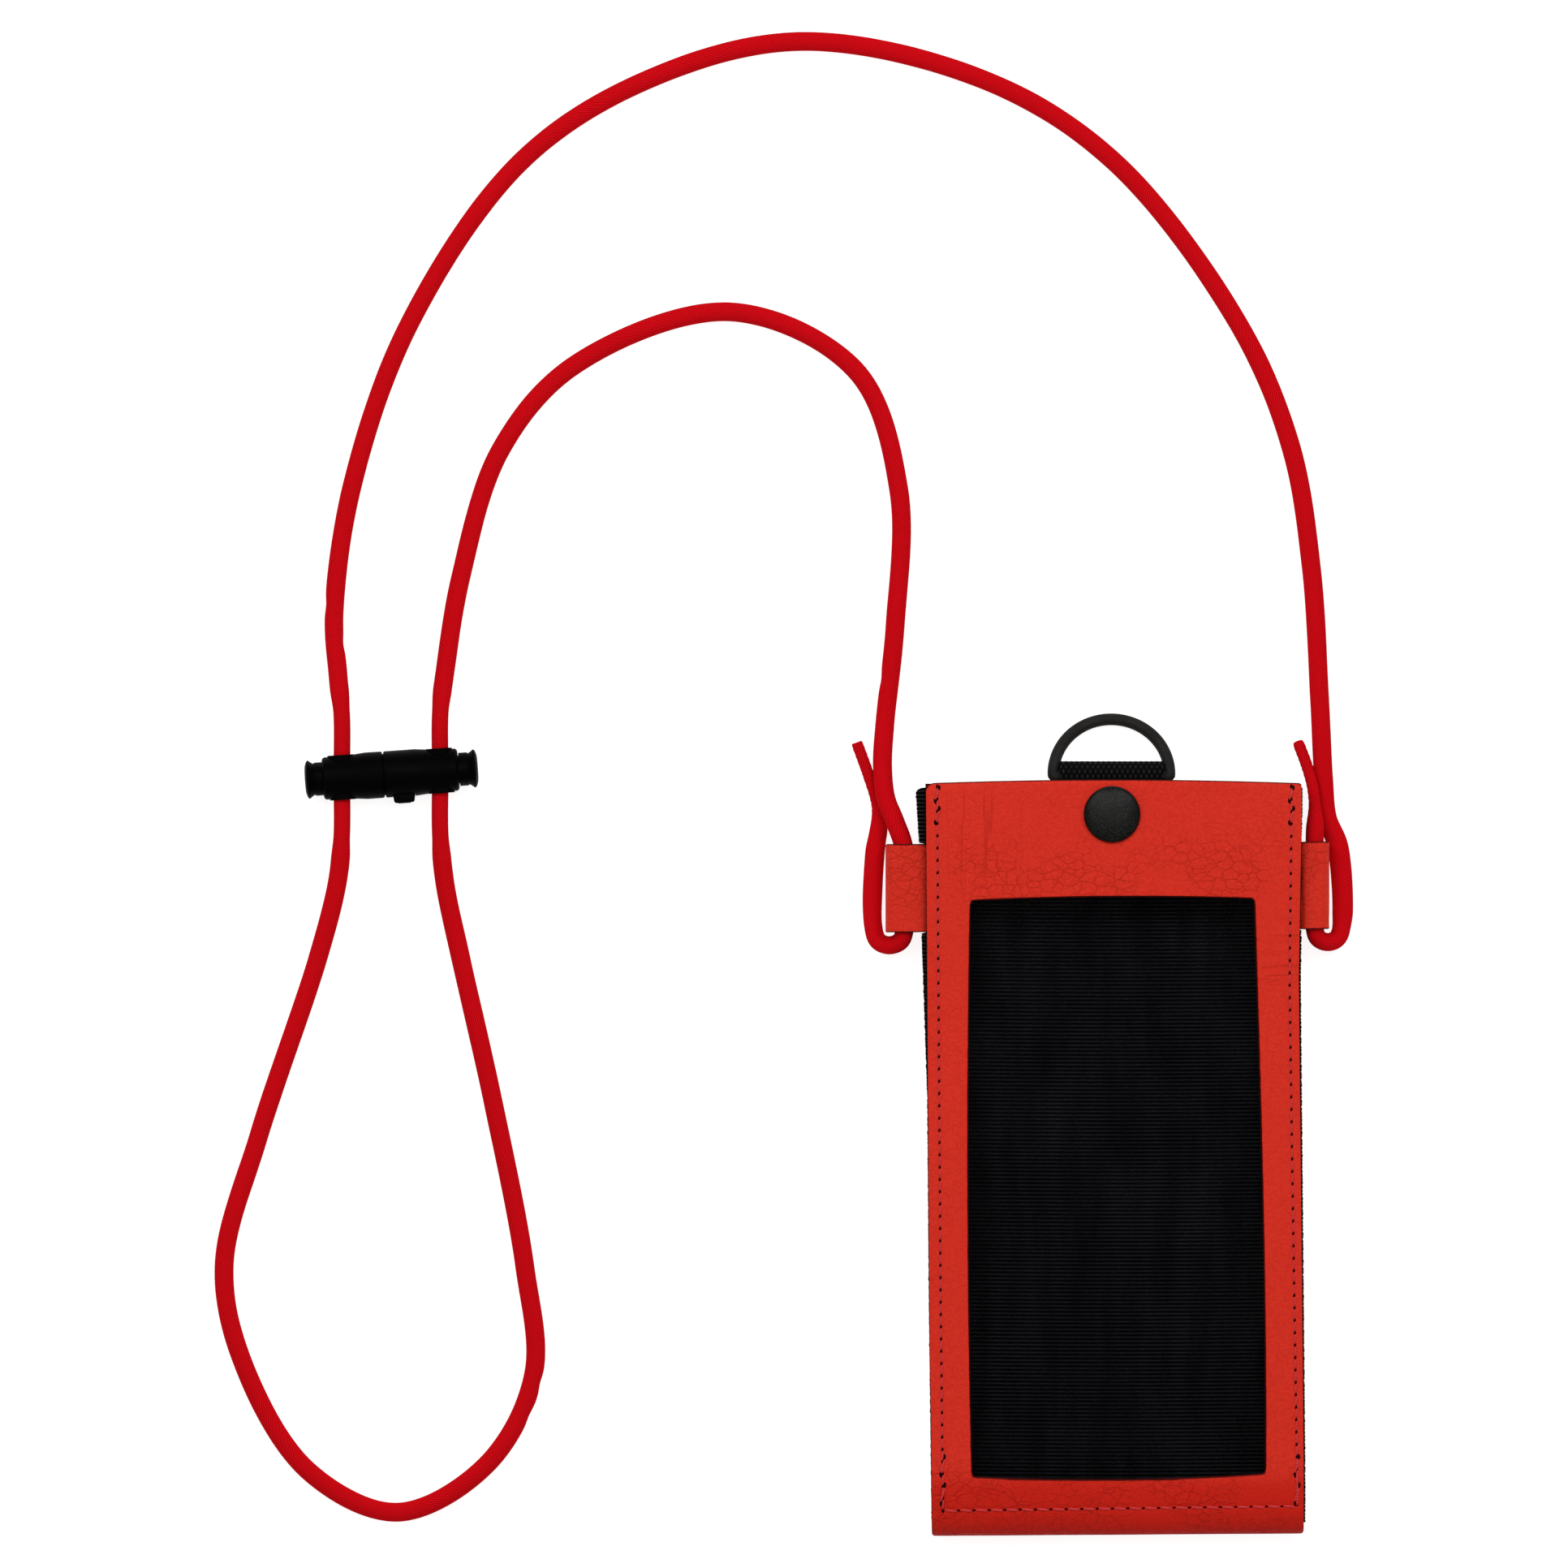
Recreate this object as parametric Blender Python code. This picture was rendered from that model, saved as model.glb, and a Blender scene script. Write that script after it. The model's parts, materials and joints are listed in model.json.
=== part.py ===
"""Phone wallet case: a leather pouch with a clear window, elastic sides, a snap strap with a D-ring,
and a round neck cord that runs through a two-hole cord lock and ends in a leather tab on each side.

The pouch lies on its back.  X runs across it, Y towards its mouth and Z out of its front.  The origin is
on the back's outer face, halfway up.  All sizes are metres.
"""

import math

import bmesh
import bpy
from mathutils import Vector

GAP = 0.0003                      # clearance between pieces that touch

# Pouch outline
HALF_WIDTH_TOP = 0.0473
HALF_WIDTH_BOTTOM = 0.0467
TOP_EDGE = 0.0950                 # highest point of the front's arched top edge
TOP_ARCH = 0.0012                 # drop of that edge from the middle to the corners
BACK_TOP_EDGE = 0.0940
BOTTOM_EDGE = -0.0950
CORNER_RADIUS = 0.0015
LEATHER = 0.0014                  # thickness of the front and back leather

# Layers from the back outwards
POCKET_THICKNESS = 0.0012
BACK_LOW = POCKET_THICKNESS + GAP
BACK_HIGH = BACK_LOW + LEATHER
LINING_LOW = BACK_HIGH + GAP
LINING_HIGH = LINING_LOW + 0.0010
FRONT_LOW = 0.0138
FRONT_HIGH = FRONT_LOW + LEATHER
FILM_HIGH = FRONT_LOW - GAP
FILM_LOW = FILM_HIGH - 0.0003

# Fold that carries the leather round the bottom; the front turns about its centre
FOLD_Z = (BACK_LOW + FRONT_HIGH) / 2
FOLD_OUTER_RADIUS = (FRONT_HIGH - BACK_LOW) / 2
FOLD_Y = BOTTOM_EDGE + FOLD_OUTER_RADIUS
FOLD_GAP_ANGLE = math.radians(10)  # open arc that the front closes as it turns

# Window, as its four corners, and the snap's hole in the front
WINDOW = [(-0.0358, -0.0790), (0.0377, -0.0790), (0.0350, 0.0650), (-0.0361, 0.0645)]
WINDOW_CORNER_RADIUS = 0.0010
FILM_BOX = (-0.0410, 0.0410, -0.0840, 0.0720)
LINING_BOX = (-0.0410, 0.0410, -0.0850, 0.0790)
POCKET_BOX = (-0.0410, 0.0410, -0.0860, 0.0620)
THUMB_NOTCH_RADIUS = 0.0100

# Elastic side gussets
ELASTIC = 0.0008
GUSSET_HALF_HEIGHT = (FRONT_LOW - GAP - BACK_HIGH - GAP) / 2
GUSSET_WEB_X = 0.0430
GUSSET_FLANGE_X = 0.0450
GUSSET_TOP = 0.0930
LEFT_EDGES = [(GUSSET_TOP, 0.0498), (0.0790, 0.0491), (0.0560, 0.0484), (0.0100, 0.0480)]
RIGHT_EDGES = [(GUSSET_TOP, 0.0485), (0.0790, 0.0484), (0.0560, 0.0482), (0.0100, 0.0481)]
GUSSET_FOLD_DROPS = (0.0, 0.0022, 0.0036)

# Side tabs that hold the cord's two ends
TAB_LOOP_INNER_X = 0.0464
TAB_ROOT_X = 0.0443
TAB_WALL = 0.0012
TAB_LOW, TAB_HIGH = 0.0044, 0.0120
TAB_NECK_HALF = 0.00135
TABS = {"tab_left": (-1, 0.0576, 0.0568, 0.0786), "tab_right": (1, 0.0541, 0.0576, 0.0792)}

# Snap closure: webbing strap, D-ring and snap fastener
CLOSURE_X = -0.0007
SNAP_Y = 0.0863
STRAP_HALF_WIDTH = 0.0126
STRAP_THICKNESS = 0.0012
STRAP_LOW = LINING_LOW
STRAP_HIGH = 0.0106
STRAP_END_Y = 0.0795
STRAP_BIGHT_Y = 0.0960
RING_WIRE_RADIUS = 0.0016
RING_RADIUS = 0.0145              # to the middle of the wire
RING_LEG = 0.0008
RING_BAR_Y = 0.09575
RING_BAR_Z = (STRAP_LOW + STRAP_HIGH) / 2
RING_REST_HEIGHT = RING_WIRE_RADIUS + 0.00005
SNAP_CAP_RADIUS = 0.00735
SNAP_CAP_HIGH = 0.0173
SNAP_HOLE_RADIUS = 0.0019
STUD_HOLE_RADIUS = 0.0016

# Cord lock, in its own frame: X along the barrel, Y along the cord, Z up
LOCK_PLACE = (-0.1820, 0.0964, 0.0060)
LOCK_TURN = math.radians(3.9)
LOCK_BORE_X = 0.0124
LOCK_BORE_RADIUS = 0.0028
LOCK_SEAM = -0.0019
LOCK_LEFT_END, LOCK_RIGHT_END = -0.0172, 0.0170
LOCK_WAIST_RADIUS, LOCK_END_RADIUS = 0.00595, 0.00535
BARREL_RADIUS = 0.0045
SPRING_SEAT_RADIUS = 0.0030
SPIGOT_RADIUS, SPIGOT_LENGTH = 0.0040, 0.0013
PLUNGER_RADIUS = 0.0042
PLUNGER_TRAVEL = 0.0020
PLUNGER_FLANGE_RADIUS, PLUNGER_FLANGE = 0.00485, 0.0015
PLUNGER_INNER_END = LOCK_BORE_X - LOCK_BORE_RADIUS - 0.0012
PLUNGER_BORE_FLOOR = PLUNGER_INNER_END - PLUNGER_TRAVEL - 0.0003
SPRING_RADIUS, SPRING_WIRE_RADIUS = 0.0023, 0.00025
BUTTON_X = (0.0004, 0.0055)
BUTTON_HALF_HEIGHT = 0.0023
BUTTON_FACE, BUTTON_BACK, BUTTON_FLOOR = 0.0074, 0.0050, 0.0036

# Neck cord
CORD_RADIUS = 0.0024
CORD_TUNNEL_RADIUS = 0.0023
CORD_TAIL_RADIUS = 0.00145
CORD_LOCK_RADIUS = 0.0021
CORD_TAIL_LENGTH = 0.016          # thin tail, before it widens to go through its tab
CORD_TAIL_WIDENING = 0.008
CORD_TAB_LENGTH = 0.060           # length from a tip that is pressed by its tab
CORD_TAB_WIDENING = 0.020         # length over which it swells out again beyond that
CORD_LOCK_REACH = 0.017           # length each side of the lock where the cord is pressed thinner
CORD_NEAR_LOCK_X = -0.160         # the cord is left of this where it passes through the lock
CORD_FINE_STEP = 0.001            # spacing of the points that the smooth curve is read at
CORD_STEP = 0.0225                # longest distance between two points of the tube
CORD_SLACK = 0.0006               # most that the tube strays from the curve
CORD_TAB_SLACK = 0.00020          # the same near the tabs
CORD_ROUTE = [
    # right tail, over the strand beside it, and down through the right tab
    (0.0464, 0.1044, 0.0016), (0.0487, 0.0980, 0.0041), (0.0500, 0.0928, 0.0062), (0.0505, 0.0865, 0.0077),
    (0.0504, 0.0795, 0.0082), (0.0504, 0.0680, 0.0082), (0.0504, 0.0576, 0.0082),
    # round the right tab's outer side
    (0.0513, 0.0551, 0.0072), (0.0539, 0.0541, 0.0055), (0.0564, 0.0553, 0.0038), (0.0575, 0.0598, 0.0027),
    (0.0564, 0.0780, 0.0025), (0.0537, 0.0855, 0.0025), (0.0528, 0.0950, 0.0025),
    # round the neck
    (0.0518, 0.1150, 0.0025), (0.0497, 0.1484, 0.0025), (0.0445, 0.1790, 0.0025), (0.0314, 0.2097, 0.0025),
    (0.0001, 0.2506, 0.0025), (-0.0324, 0.2711, 0.0025), (-0.0792, 0.2809, 0.0025), (-0.1179, 0.2711, 0.0025),
    (-0.1494, 0.2506, 0.0025), (-0.1775, 0.2097, 0.0025), (-0.1919, 0.1688, 0.0026), (-0.1964, 0.1370, 0.0027),
    # down through the lock's left bore
    (-0.1954, 0.1215, 0.0044), (-0.1944, 0.1110, 0.0060), (-0.1944, 0.0960, 0.0060), (-0.1944, 0.0810, 0.0060),
    (-0.1955, 0.0695, 0.0043), (-0.2005, 0.0500, 0.0027),
    # the loose loop under the lock
    (-0.2154, 0.0052, 0.0026), (-0.2241, -0.0275, 0.0025), (-0.2193, -0.0520, 0.0025), (-0.2030, -0.0790, 0.0025),
    (-0.1805, -0.0895, 0.0025), (-0.1580, -0.0775, 0.0025), (-0.1462, -0.0550, 0.0025), (-0.1484, -0.0275, 0.0025),
    (-0.1565, 0.0145, 0.0026), (-0.1645, 0.0500, 0.0027),
    # up through the lock's right bore
    (-0.1684, 0.0685, 0.0041), (-0.1696, 0.0810, 0.0060), (-0.1696, 0.0965, 0.0060), (-0.1696, 0.1120, 0.0060),
    (-0.1684, 0.1225, 0.0043), (-0.1645, 0.1460, 0.0027),
    # the inner strand, back to the pouch
    (-0.1545, 0.1780, 0.0026), (-0.1357, 0.1995, 0.0025), (-0.0966, 0.2128, 0.0025), (-0.0650, 0.1980, 0.0025),
    (-0.0542, 0.1680, 0.0025), (-0.0551, 0.1340, 0.0026), (-0.0577, 0.1090, 0.0026), (-0.0583, 0.0985, 0.0036),
    # down through the left tab and round its outer side, to the left tail
    (-0.0575, 0.0905, 0.0057), (-0.0552, 0.0845, 0.0077), (-0.0530, 0.0780, 0.0083), (-0.0528, 0.0675, 0.0082),
    (-0.0529, 0.0566, 0.0082), (-0.0539, 0.0543, 0.0072), (-0.0567, 0.0533, 0.0055), (-0.0595, 0.0545, 0.0037),
    (-0.0607, 0.0587, 0.0026), (-0.0602, 0.0765, 0.0026), (-0.0592, 0.0835, 0.0023), (-0.0598, 0.0895, 0.0016),
    (-0.0617, 0.0958, 0.0016), (-0.0648, 0.1044, 0.0016),
]


# ------------------------------------------------------------------------------------------ helpers

def clear_scene():
    """Remove everything that the scene starts with."""
    for obj in list(bpy.data.objects):
        bpy.data.objects.remove(obj, do_unlink=True)


def make_material(name, color, roughness, metallic=0.0, alpha=1.0):
    """A Principled BSDF material of one colour."""
    material = bpy.data.materials.new(name)
    material.use_nodes = True
    shader = material.node_tree.nodes["Principled BSDF"]
    shader.inputs["Base Color"].default_value = (*color, 1.0)
    shader.inputs["Roughness"].default_value = roughness
    shader.inputs["Metallic"].default_value = metallic
    shader.inputs["Alpha"].default_value = alpha
    return material


def make_object(name, bm, material, parent=None):
    """Turn a bmesh into a linked object with its faces pointing out."""
    bmesh.ops.recalc_face_normals(bm, faces=bm.faces)
    mesh = bpy.data.meshes.new(name)
    bm.to_mesh(mesh)
    bm.free()
    mesh.materials.append(material)
    obj = bpy.data.objects.new(name, mesh)
    bpy.context.scene.collection.objects.link(obj)
    obj.parent = parent
    return obj


def make_round(obj):
    """Shade a turned piece smooth, except over its sharp edges."""
    obj.data.shade_smooth()
    obj.data.set_sharp_from_angle(angle=math.radians(35))


def make_empty(name, place, turn_z=0.0):
    """An empty that carries a group of pieces."""
    empty = bpy.data.objects.new(name, None)
    empty.location = place
    empty.rotation_euler = (0.0, 0.0, turn_z)
    bpy.context.scene.collection.objects.link(empty)
    return empty


def cut(target, cutter):
    """Take the cutter's shape out of the target."""
    cutter.hide_render = True
    cutter.display_type = "WIRE"
    cutter.parent = target.parent
    modifier = target.modifiers.new(cutter.name, "BOOLEAN")
    modifier.operation = "DIFFERENCE"
    modifier.object = cutter


def arc(center_u, center_v, radius, start, end, steps):
    """Points on an arc, angles in radians."""
    angles = [start + (end - start) * i / steps for i in range(steps + 1)]
    return [(center_u + radius * math.cos(a), center_v + radius * math.sin(a)) for a in angles]


def rounded(corners, steps=4):
    """A closed outline from (u, v, radius) corners, each turned on an arc of its radius."""
    outline = []
    for index, (u, v, radius) in enumerate(corners):
        corner = Vector((u, v))
        if radius == 0.0:
            outline.append((u, v))
            continue
        back = (Vector(corners[index - 1][:2]) - corner).normalized()
        ahead = (Vector(corners[(index + 1) % len(corners)][:2]) - corner).normalized()
        half = back.angle(ahead) / 2
        center = corner + (back + ahead).normalized() * (radius / math.sin(half))
        start = corner + back * (radius / math.tan(half)) - center
        turn = math.pi - 2 * half
        if back.x * ahead.y - back.y * ahead.x > 0:
            turn = -turn
        for step in range(steps + 1):
            angle = turn * step / steps
            outline.append((center.x + start.x * math.cos(angle) - start.y * math.sin(angle),
                            center.y + start.x * math.sin(angle) + start.y * math.cos(angle)))
    return outline


def box_outline(low_u, high_u, low_v, high_v, radius=0.0):
    """A rectangle's outline."""
    return rounded([(low_u, low_v, radius), (high_u, low_v, radius),
                    (high_u, high_v, radius), (low_u, high_v, radius)])


def ribbon_outline(path, thickness):
    """The closed outline of a strip of one thickness that follows a path."""
    sides = ([], [])
    for index, point in enumerate(path):
        before = Vector(path[max(index - 1, 0)])
        after = Vector(path[min(index + 1, len(path) - 1)])
        along = (after - before).normalized()
        across = Vector((-along.y, along.x)) * (thickness / 2)
        sides[0].append(Vector(point) + across)
        sides[1].append(Vector(point) - across)
    return [tuple(p) for p in sides[0] + sides[1][::-1]]


def loft(sections):
    """A solid through closed sections with the same number of points, with flat ends."""
    bm = bmesh.new()
    rings = [[bm.verts.new(point) for point in section] for section in sections]
    count = len(rings[0])
    for near, far in zip(rings, rings[1:]):
        for i in range(count):
            j = (i + 1) % count
            bm.faces.new((near[i], near[j], far[j], far[i]))
    bm.faces.new(rings[0][::-1])
    bm.faces.new(rings[-1])
    return bm


def plate(outline, low, high):
    """An outline in X and Y, from one height to another."""
    return loft([[(x, y, z) for x, y in outline] for z in (low, high)])


def bar_along_x(outline, low, high):
    """An outline in Y and Z, from one X to another."""
    return loft([[(x, y, z) for y, z in outline] for x in (low, high)])


def bar_along_y(outline, low, high):
    """An outline in X and Z, from one Y to another."""
    return loft([[(x, y, z) for x, z in outline] for y in (low, high)])


def turned(profile, axis, center=(0.0, 0.0), segments=28):
    """A solid of revolution about X or Z from (place along the axis, radius) points.

    The profile starts and ends on the axis; center is the axis's other two coordinates.
    """
    bm = bmesh.new()

    def place(along, radius, angle):
        u = center[0] + radius * math.cos(angle)
        v = center[1] + radius * math.sin(angle)
        return (along, u, v) if axis == "X" else (u, v, along)

    rings = []
    for along, radius in profile:
        count = 1 if radius == 0.0 else segments
        rings.append([bm.verts.new(place(along, radius, 2 * math.pi * k / segments)) for k in range(count)])
    for near, far in zip(rings, rings[1:]):
        for k in range(segments):
            loop = [near[k % len(near)], near[(k + 1) % len(near)], far[(k + 1) % len(far)], far[k % len(far)]]
            bm.faces.new(list(dict.fromkeys(loop)))
    return bm


def make_tube(name, points, radius, material, factors=None, closed=False, sides=3, parent=None):
    """A round bar through the points, as a curve with a bevel."""
    curve = bpy.data.curves.new(name, "CURVE")
    curve.dimensions = "3D"
    curve.bevel_depth = radius
    curve.bevel_resolution = sides
    curve.use_fill_caps = not closed
    spline = curve.splines.new("POLY")
    spline.points.add(len(points) - 1)
    for index, point in enumerate(points):
        spline.points[index].co = (*point, 1.0)
        if factors:
            spline.points[index].radius = factors[index]
    spline.use_cyclic_u = closed
    spline.use_smooth = True
    curve.materials.append(material)
    obj = bpy.data.objects.new(name, curve)
    bpy.context.scene.collection.objects.link(obj)
    obj.parent = parent
    return obj


def smooth_step(value):
    """0 below 0, 1 above 1, and a smooth rise between."""
    value = min(max(value, 0.0), 1.0)
    return value * value * (3 - 2 * value)


# -------------------------------------------------------------------------------------------- pouch

def top_edge_height(x):
    """The front's arched top edge."""
    return TOP_EDGE - TOP_ARCH * (x / HALF_WIDTH_TOP) ** 2


def make_front_frame(leather):
    """Front leather with its window and the hole for the snap's shank."""
    arch = [HALF_WIDTH_TOP * k / 5 for k in (4, 3, 2, 1, 0, -1, -2, -3, -4)]
    corners = [(-HALF_WIDTH_BOTTOM, FOLD_Y, 0.0), (HALF_WIDTH_BOTTOM, FOLD_Y, 0.0)]
    corners += [(HALF_WIDTH_TOP, TOP_EDGE - TOP_ARCH, CORNER_RADIUS)]
    corners += [(x, top_edge_height(x), 0.0) for x in arch]
    corners += [(-HALF_WIDTH_TOP, TOP_EDGE - TOP_ARCH, CORNER_RADIUS)]
    front = make_object("front_frame", plate(rounded(corners), FRONT_LOW, FRONT_HIGH), leather)
    window = rounded([(x, y, WINDOW_CORNER_RADIUS) for x, y in WINDOW])
    cut(front, make_object("window_cutter", plate(window, FRONT_LOW - 0.001, FRONT_HIGH + 0.001), leather))
    hole = turned([(FRONT_LOW - 0.001, 0.0), (FRONT_LOW - 0.001, SNAP_HOLE_RADIUS),
                   (FRONT_HIGH + 0.001, SNAP_HOLE_RADIUS), (FRONT_HIGH + 0.001, 0.0)],
                  "Z", (CLOSURE_X, SNAP_Y), 16)
    cut(front, make_object("snap_hole_cutter", hole, leather))


def make_back_panel(leather):
    """Back leather, carried round the bottom fold to just short of the front."""
    middle_radius = FOLD_OUTER_RADIUS - LEATHER / 2
    fold = arc(FOLD_Y, FOLD_Z, middle_radius, -math.pi / 2, -1.5 * math.pi + FOLD_GAP_ANGLE, 14)
    path = [(BACK_TOP_EDGE, BACK_LOW + LEATHER / 2)] + fold
    outline = ribbon_outline(path, LEATHER)
    make_object("back_panel", bar_along_x(outline, -HALF_WIDTH_BOTTOM, HALF_WIDTH_BOTTOM), leather)


def make_back_pocket(leather):
    """Slip pocket on the back, with a thumb notch in its open edge."""
    low_x, high_x, low_y, high_y = POCKET_BOX
    outline = [(low_x, low_y), (high_x, low_y), (high_x, high_y)]
    outline += arc(0.0, high_y, THUMB_NOTCH_RADIUS, 0.0, -math.pi, 12)
    outline += [(low_x, high_y)]
    make_object("back_pocket", plate(outline, 0.0, POCKET_THICKNESS), leather)


def make_gusset(name, side, edges, elastic):
    """Elastic side, a channel open outwards whose raw edges show past the leather."""
    stations = [(y, edge, GUSSET_HALF_HEIGHT) for y, edge in edges]
    for drop in GUSSET_FOLD_DROPS:
        half = math.sqrt(GUSSET_HALF_HEIGHT ** 2 - drop ** 2)
        stations.append((FOLD_Y - drop, edges[-1][1], half))
    sections = []
    for y, edge, half in stations:
        reach = half - ELASTIC / 2
        upper = [(edge, reach), (GUSSET_FLANGE_X, reach), (GUSSET_FLANGE_X - 0.0010, reach - 0.0004),
                 (GUSSET_WEB_X + 0.0003, reach * 0.55)]
        path = upper + [(GUSSET_WEB_X, 0.0)] + [(x, -z) for x, z in reversed(upper)]
        sections.append([(side * x, y, FOLD_Z + z) for x, z in ribbon_outline(path, ELASTIC)])
    make_object(name, loft(sections), elastic)


def make_tab(name, leather):
    """Folded leather tab with a tunnel for the cord, sewn to the gusset by its neck."""
    side, outer_x, low_y, high_y = TABS[name]
    neck_low, neck_high = FOLD_Z - TAB_NECK_HALF, FOLD_Z + TAB_NECK_HALF
    outer = rounded([(TAB_ROOT_X, neck_low, 0.0), (TAB_LOOP_INNER_X, neck_low, 0.0003),
                     (TAB_LOOP_INNER_X, TAB_LOW, 0.0020), (outer_x, TAB_LOW, 0.0034),
                     (outer_x, TAB_HIGH, 0.0034), (TAB_LOOP_INNER_X, TAB_HIGH, 0.0020),
                     (TAB_LOOP_INNER_X, neck_high, 0.0003), (TAB_ROOT_X, neck_high, 0.0)])
    tunnel = box_outline(TAB_LOOP_INNER_X + TAB_WALL, outer_x - 0.0011, TAB_LOW + TAB_WALL,
                         TAB_HIGH - TAB_WALL, 0.0022)
    tab = make_object(name, bar_along_y([(side * x, z) for x, z in outer], low_y, high_y), leather)
    bore = bar_along_y([(side * x, z) for x, z in tunnel], low_y - 0.001, high_y + 0.001)
    cut(tab, make_object(name + "_tunnel_cutter", bore, leather))


def make_pouch(leather, elastic, film):
    """Every piece of the pouch itself."""
    make_front_frame(leather)
    make_back_panel(leather)
    make_back_pocket(leather)
    make_object("elastic_lining", plate(box_outline(*LINING_BOX, 0.001), LINING_LOW, LINING_HIGH), elastic)
    make_object("window_film", plate(box_outline(*FILM_BOX, 0.001), FILM_LOW, FILM_HIGH), film)
    make_gusset("gusset_left", -1, LEFT_EDGES, elastic)
    make_gusset("gusset_right", 1, RIGHT_EDGES, elastic)
    for name in TABS:
        make_tab(name, leather)


# ------------------------------------------------------------------------------------------ closure

def make_strap(webbing):
    """Webbing strap: sewn inside the back, over the mouth round the ring's bar, down to the snap."""
    middle_low, middle_high = STRAP_LOW + STRAP_THICKNESS / 2, STRAP_HIGH - STRAP_THICKNESS / 2
    bight_radius = (middle_high - middle_low) / 2
    path = [(STRAP_END_Y, middle_low)]
    path += arc(STRAP_BIGHT_Y, RING_BAR_Z, bight_radius, -math.pi / 2, math.pi / 2, 12)
    path += [(STRAP_END_Y, middle_high)]
    solid = bar_along_x(ribbon_outline(path, STRAP_THICKNESS),
                        CLOSURE_X - STRAP_HALF_WIDTH, CLOSURE_X + STRAP_HALF_WIDTH)
    strap = make_object("closure_strap", solid, webbing)
    low, high = middle_high - STRAP_THICKNESS, middle_high + STRAP_THICKNESS
    hole = turned([(low, 0.0), (low, STUD_HOLE_RADIUS), (high, STUD_HOLE_RADIUS), (high, 0.0)],
                  "Z", (CLOSURE_X, SNAP_Y), 16)
    cut(strap, make_object("stud_hole_cutter", hole, webbing))


def make_snap_piece(name, profile, material):
    """One turned piece of the snap fastener, on its centre line."""
    make_round(make_object(name, turned(profile, "Z", (CLOSURE_X, SNAP_Y)), material))


def make_snap(painted_metal, steel):
    """Snap fastener: cap and socket on the front, stud and post on the strap."""
    dome_low = FRONT_HIGH + GAP
    dome = [(dome_low + 0.0006 + (SNAP_CAP_HIGH - dome_low - 0.0006) * math.sin(a),
             (SNAP_CAP_RADIUS - 0.0001) * math.cos(a)) for a in [math.pi / 2 * k / 6 for k in range(1, 6)]]
    cap = [(FRONT_LOW, 0.0), (FRONT_LOW, SNAP_HOLE_RADIUS - GAP), (dome_low, SNAP_HOLE_RADIUS - GAP),
           (dome_low, SNAP_CAP_RADIUS - 0.0003), (dome_low + 0.0003, SNAP_CAP_RADIUS)]
    make_snap_piece("snap_cap", cap + dome + [(SNAP_CAP_HIGH, 0.0)], painted_metal)

    stud_low = STRAP_HIGH + GAP
    stud_base = stud_low + 0.0004
    socket_low, socket_high = stud_base + GAP, FRONT_LOW - GAP
    socket_floor, socket_bore, knob = socket_high - 0.0006, 0.0026, 0.0022
    make_snap_piece("snap_socket", [(socket_high, 0.0), (socket_high, 0.0048), (socket_high - 0.0006, 0.0060),
                                    (socket_low, 0.0060), (socket_low, socket_bore),
                                    (socket_floor, socket_bore), (socket_floor, 0.0)], steel)
    make_snap_piece("snap_stud", [(stud_low, 0.0), (stud_low, 0.0050), (stud_base, 0.0050),
                                  (stud_base, knob - 0.0004), (stud_base + 0.0006, knob),
                                  (socket_floor - GAP - 0.0002, knob - 0.0002), (socket_floor - GAP, 0.0)], steel)
    head_high = STRAP_HIGH - STRAP_THICKNESS - GAP
    make_snap_piece("snap_post", [(head_high - 0.0006, 0.0), (head_high - 0.0006, 0.0030),
                                  (head_high - 0.0003, 0.0036), (head_high, 0.0036),
                                  (head_high, STUD_HOLE_RADIUS - GAP), (STRAP_HIGH, STUD_HOLE_RADIUS - GAP),
                                  (STRAP_HIGH, 0.0)], steel)


def make_d_ring(metal):
    """D-ring, turned about its straight bar until its round end rests beside the pouch."""
    corners = rounded([(-RING_RADIUS, 0.0, RING_LEG), (RING_RADIUS, 0.0, RING_LEG),
                       (RING_RADIUS, RING_LEG, 0.0), (-RING_RADIUS, RING_LEG, 0.0)])
    path = corners[:-2] + arc(0.0, RING_LEG, RING_RADIUS, 0.0, math.pi, 24)[1:-1]
    ring = make_tube("d_ring", [(x, y, 0.0) for x, y in path], RING_WIRE_RADIUS, metal, closed=True)
    ring.location = (CLOSURE_X, RING_BAR_Y, RING_BAR_Z)
    droop = math.asin((RING_BAR_Z - RING_REST_HEIGHT) / (RING_RADIUS + RING_LEG))
    ring.rotation_euler = (-droop, 0.0, 0.0)


# ---------------------------------------------------------------------------------------- cord lock

def make_shell(name, plastic, frame, profile):
    """One half of the lock's barrel, with its bore for the cord."""
    shell = make_object(name, turned(profile, "X"), plastic, frame)
    side = -1 if name.endswith("left") else 1
    outline = arc(side * LOCK_BORE_X, 0.0, LOCK_BORE_RADIUS, 0.0, 2 * math.pi * 15 / 16, 15)
    cut(shell, make_object(name + "_bore_cutter", bar_along_y(outline, -0.008, 0.008), plastic, frame))
    make_round(shell)
    return shell


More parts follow.
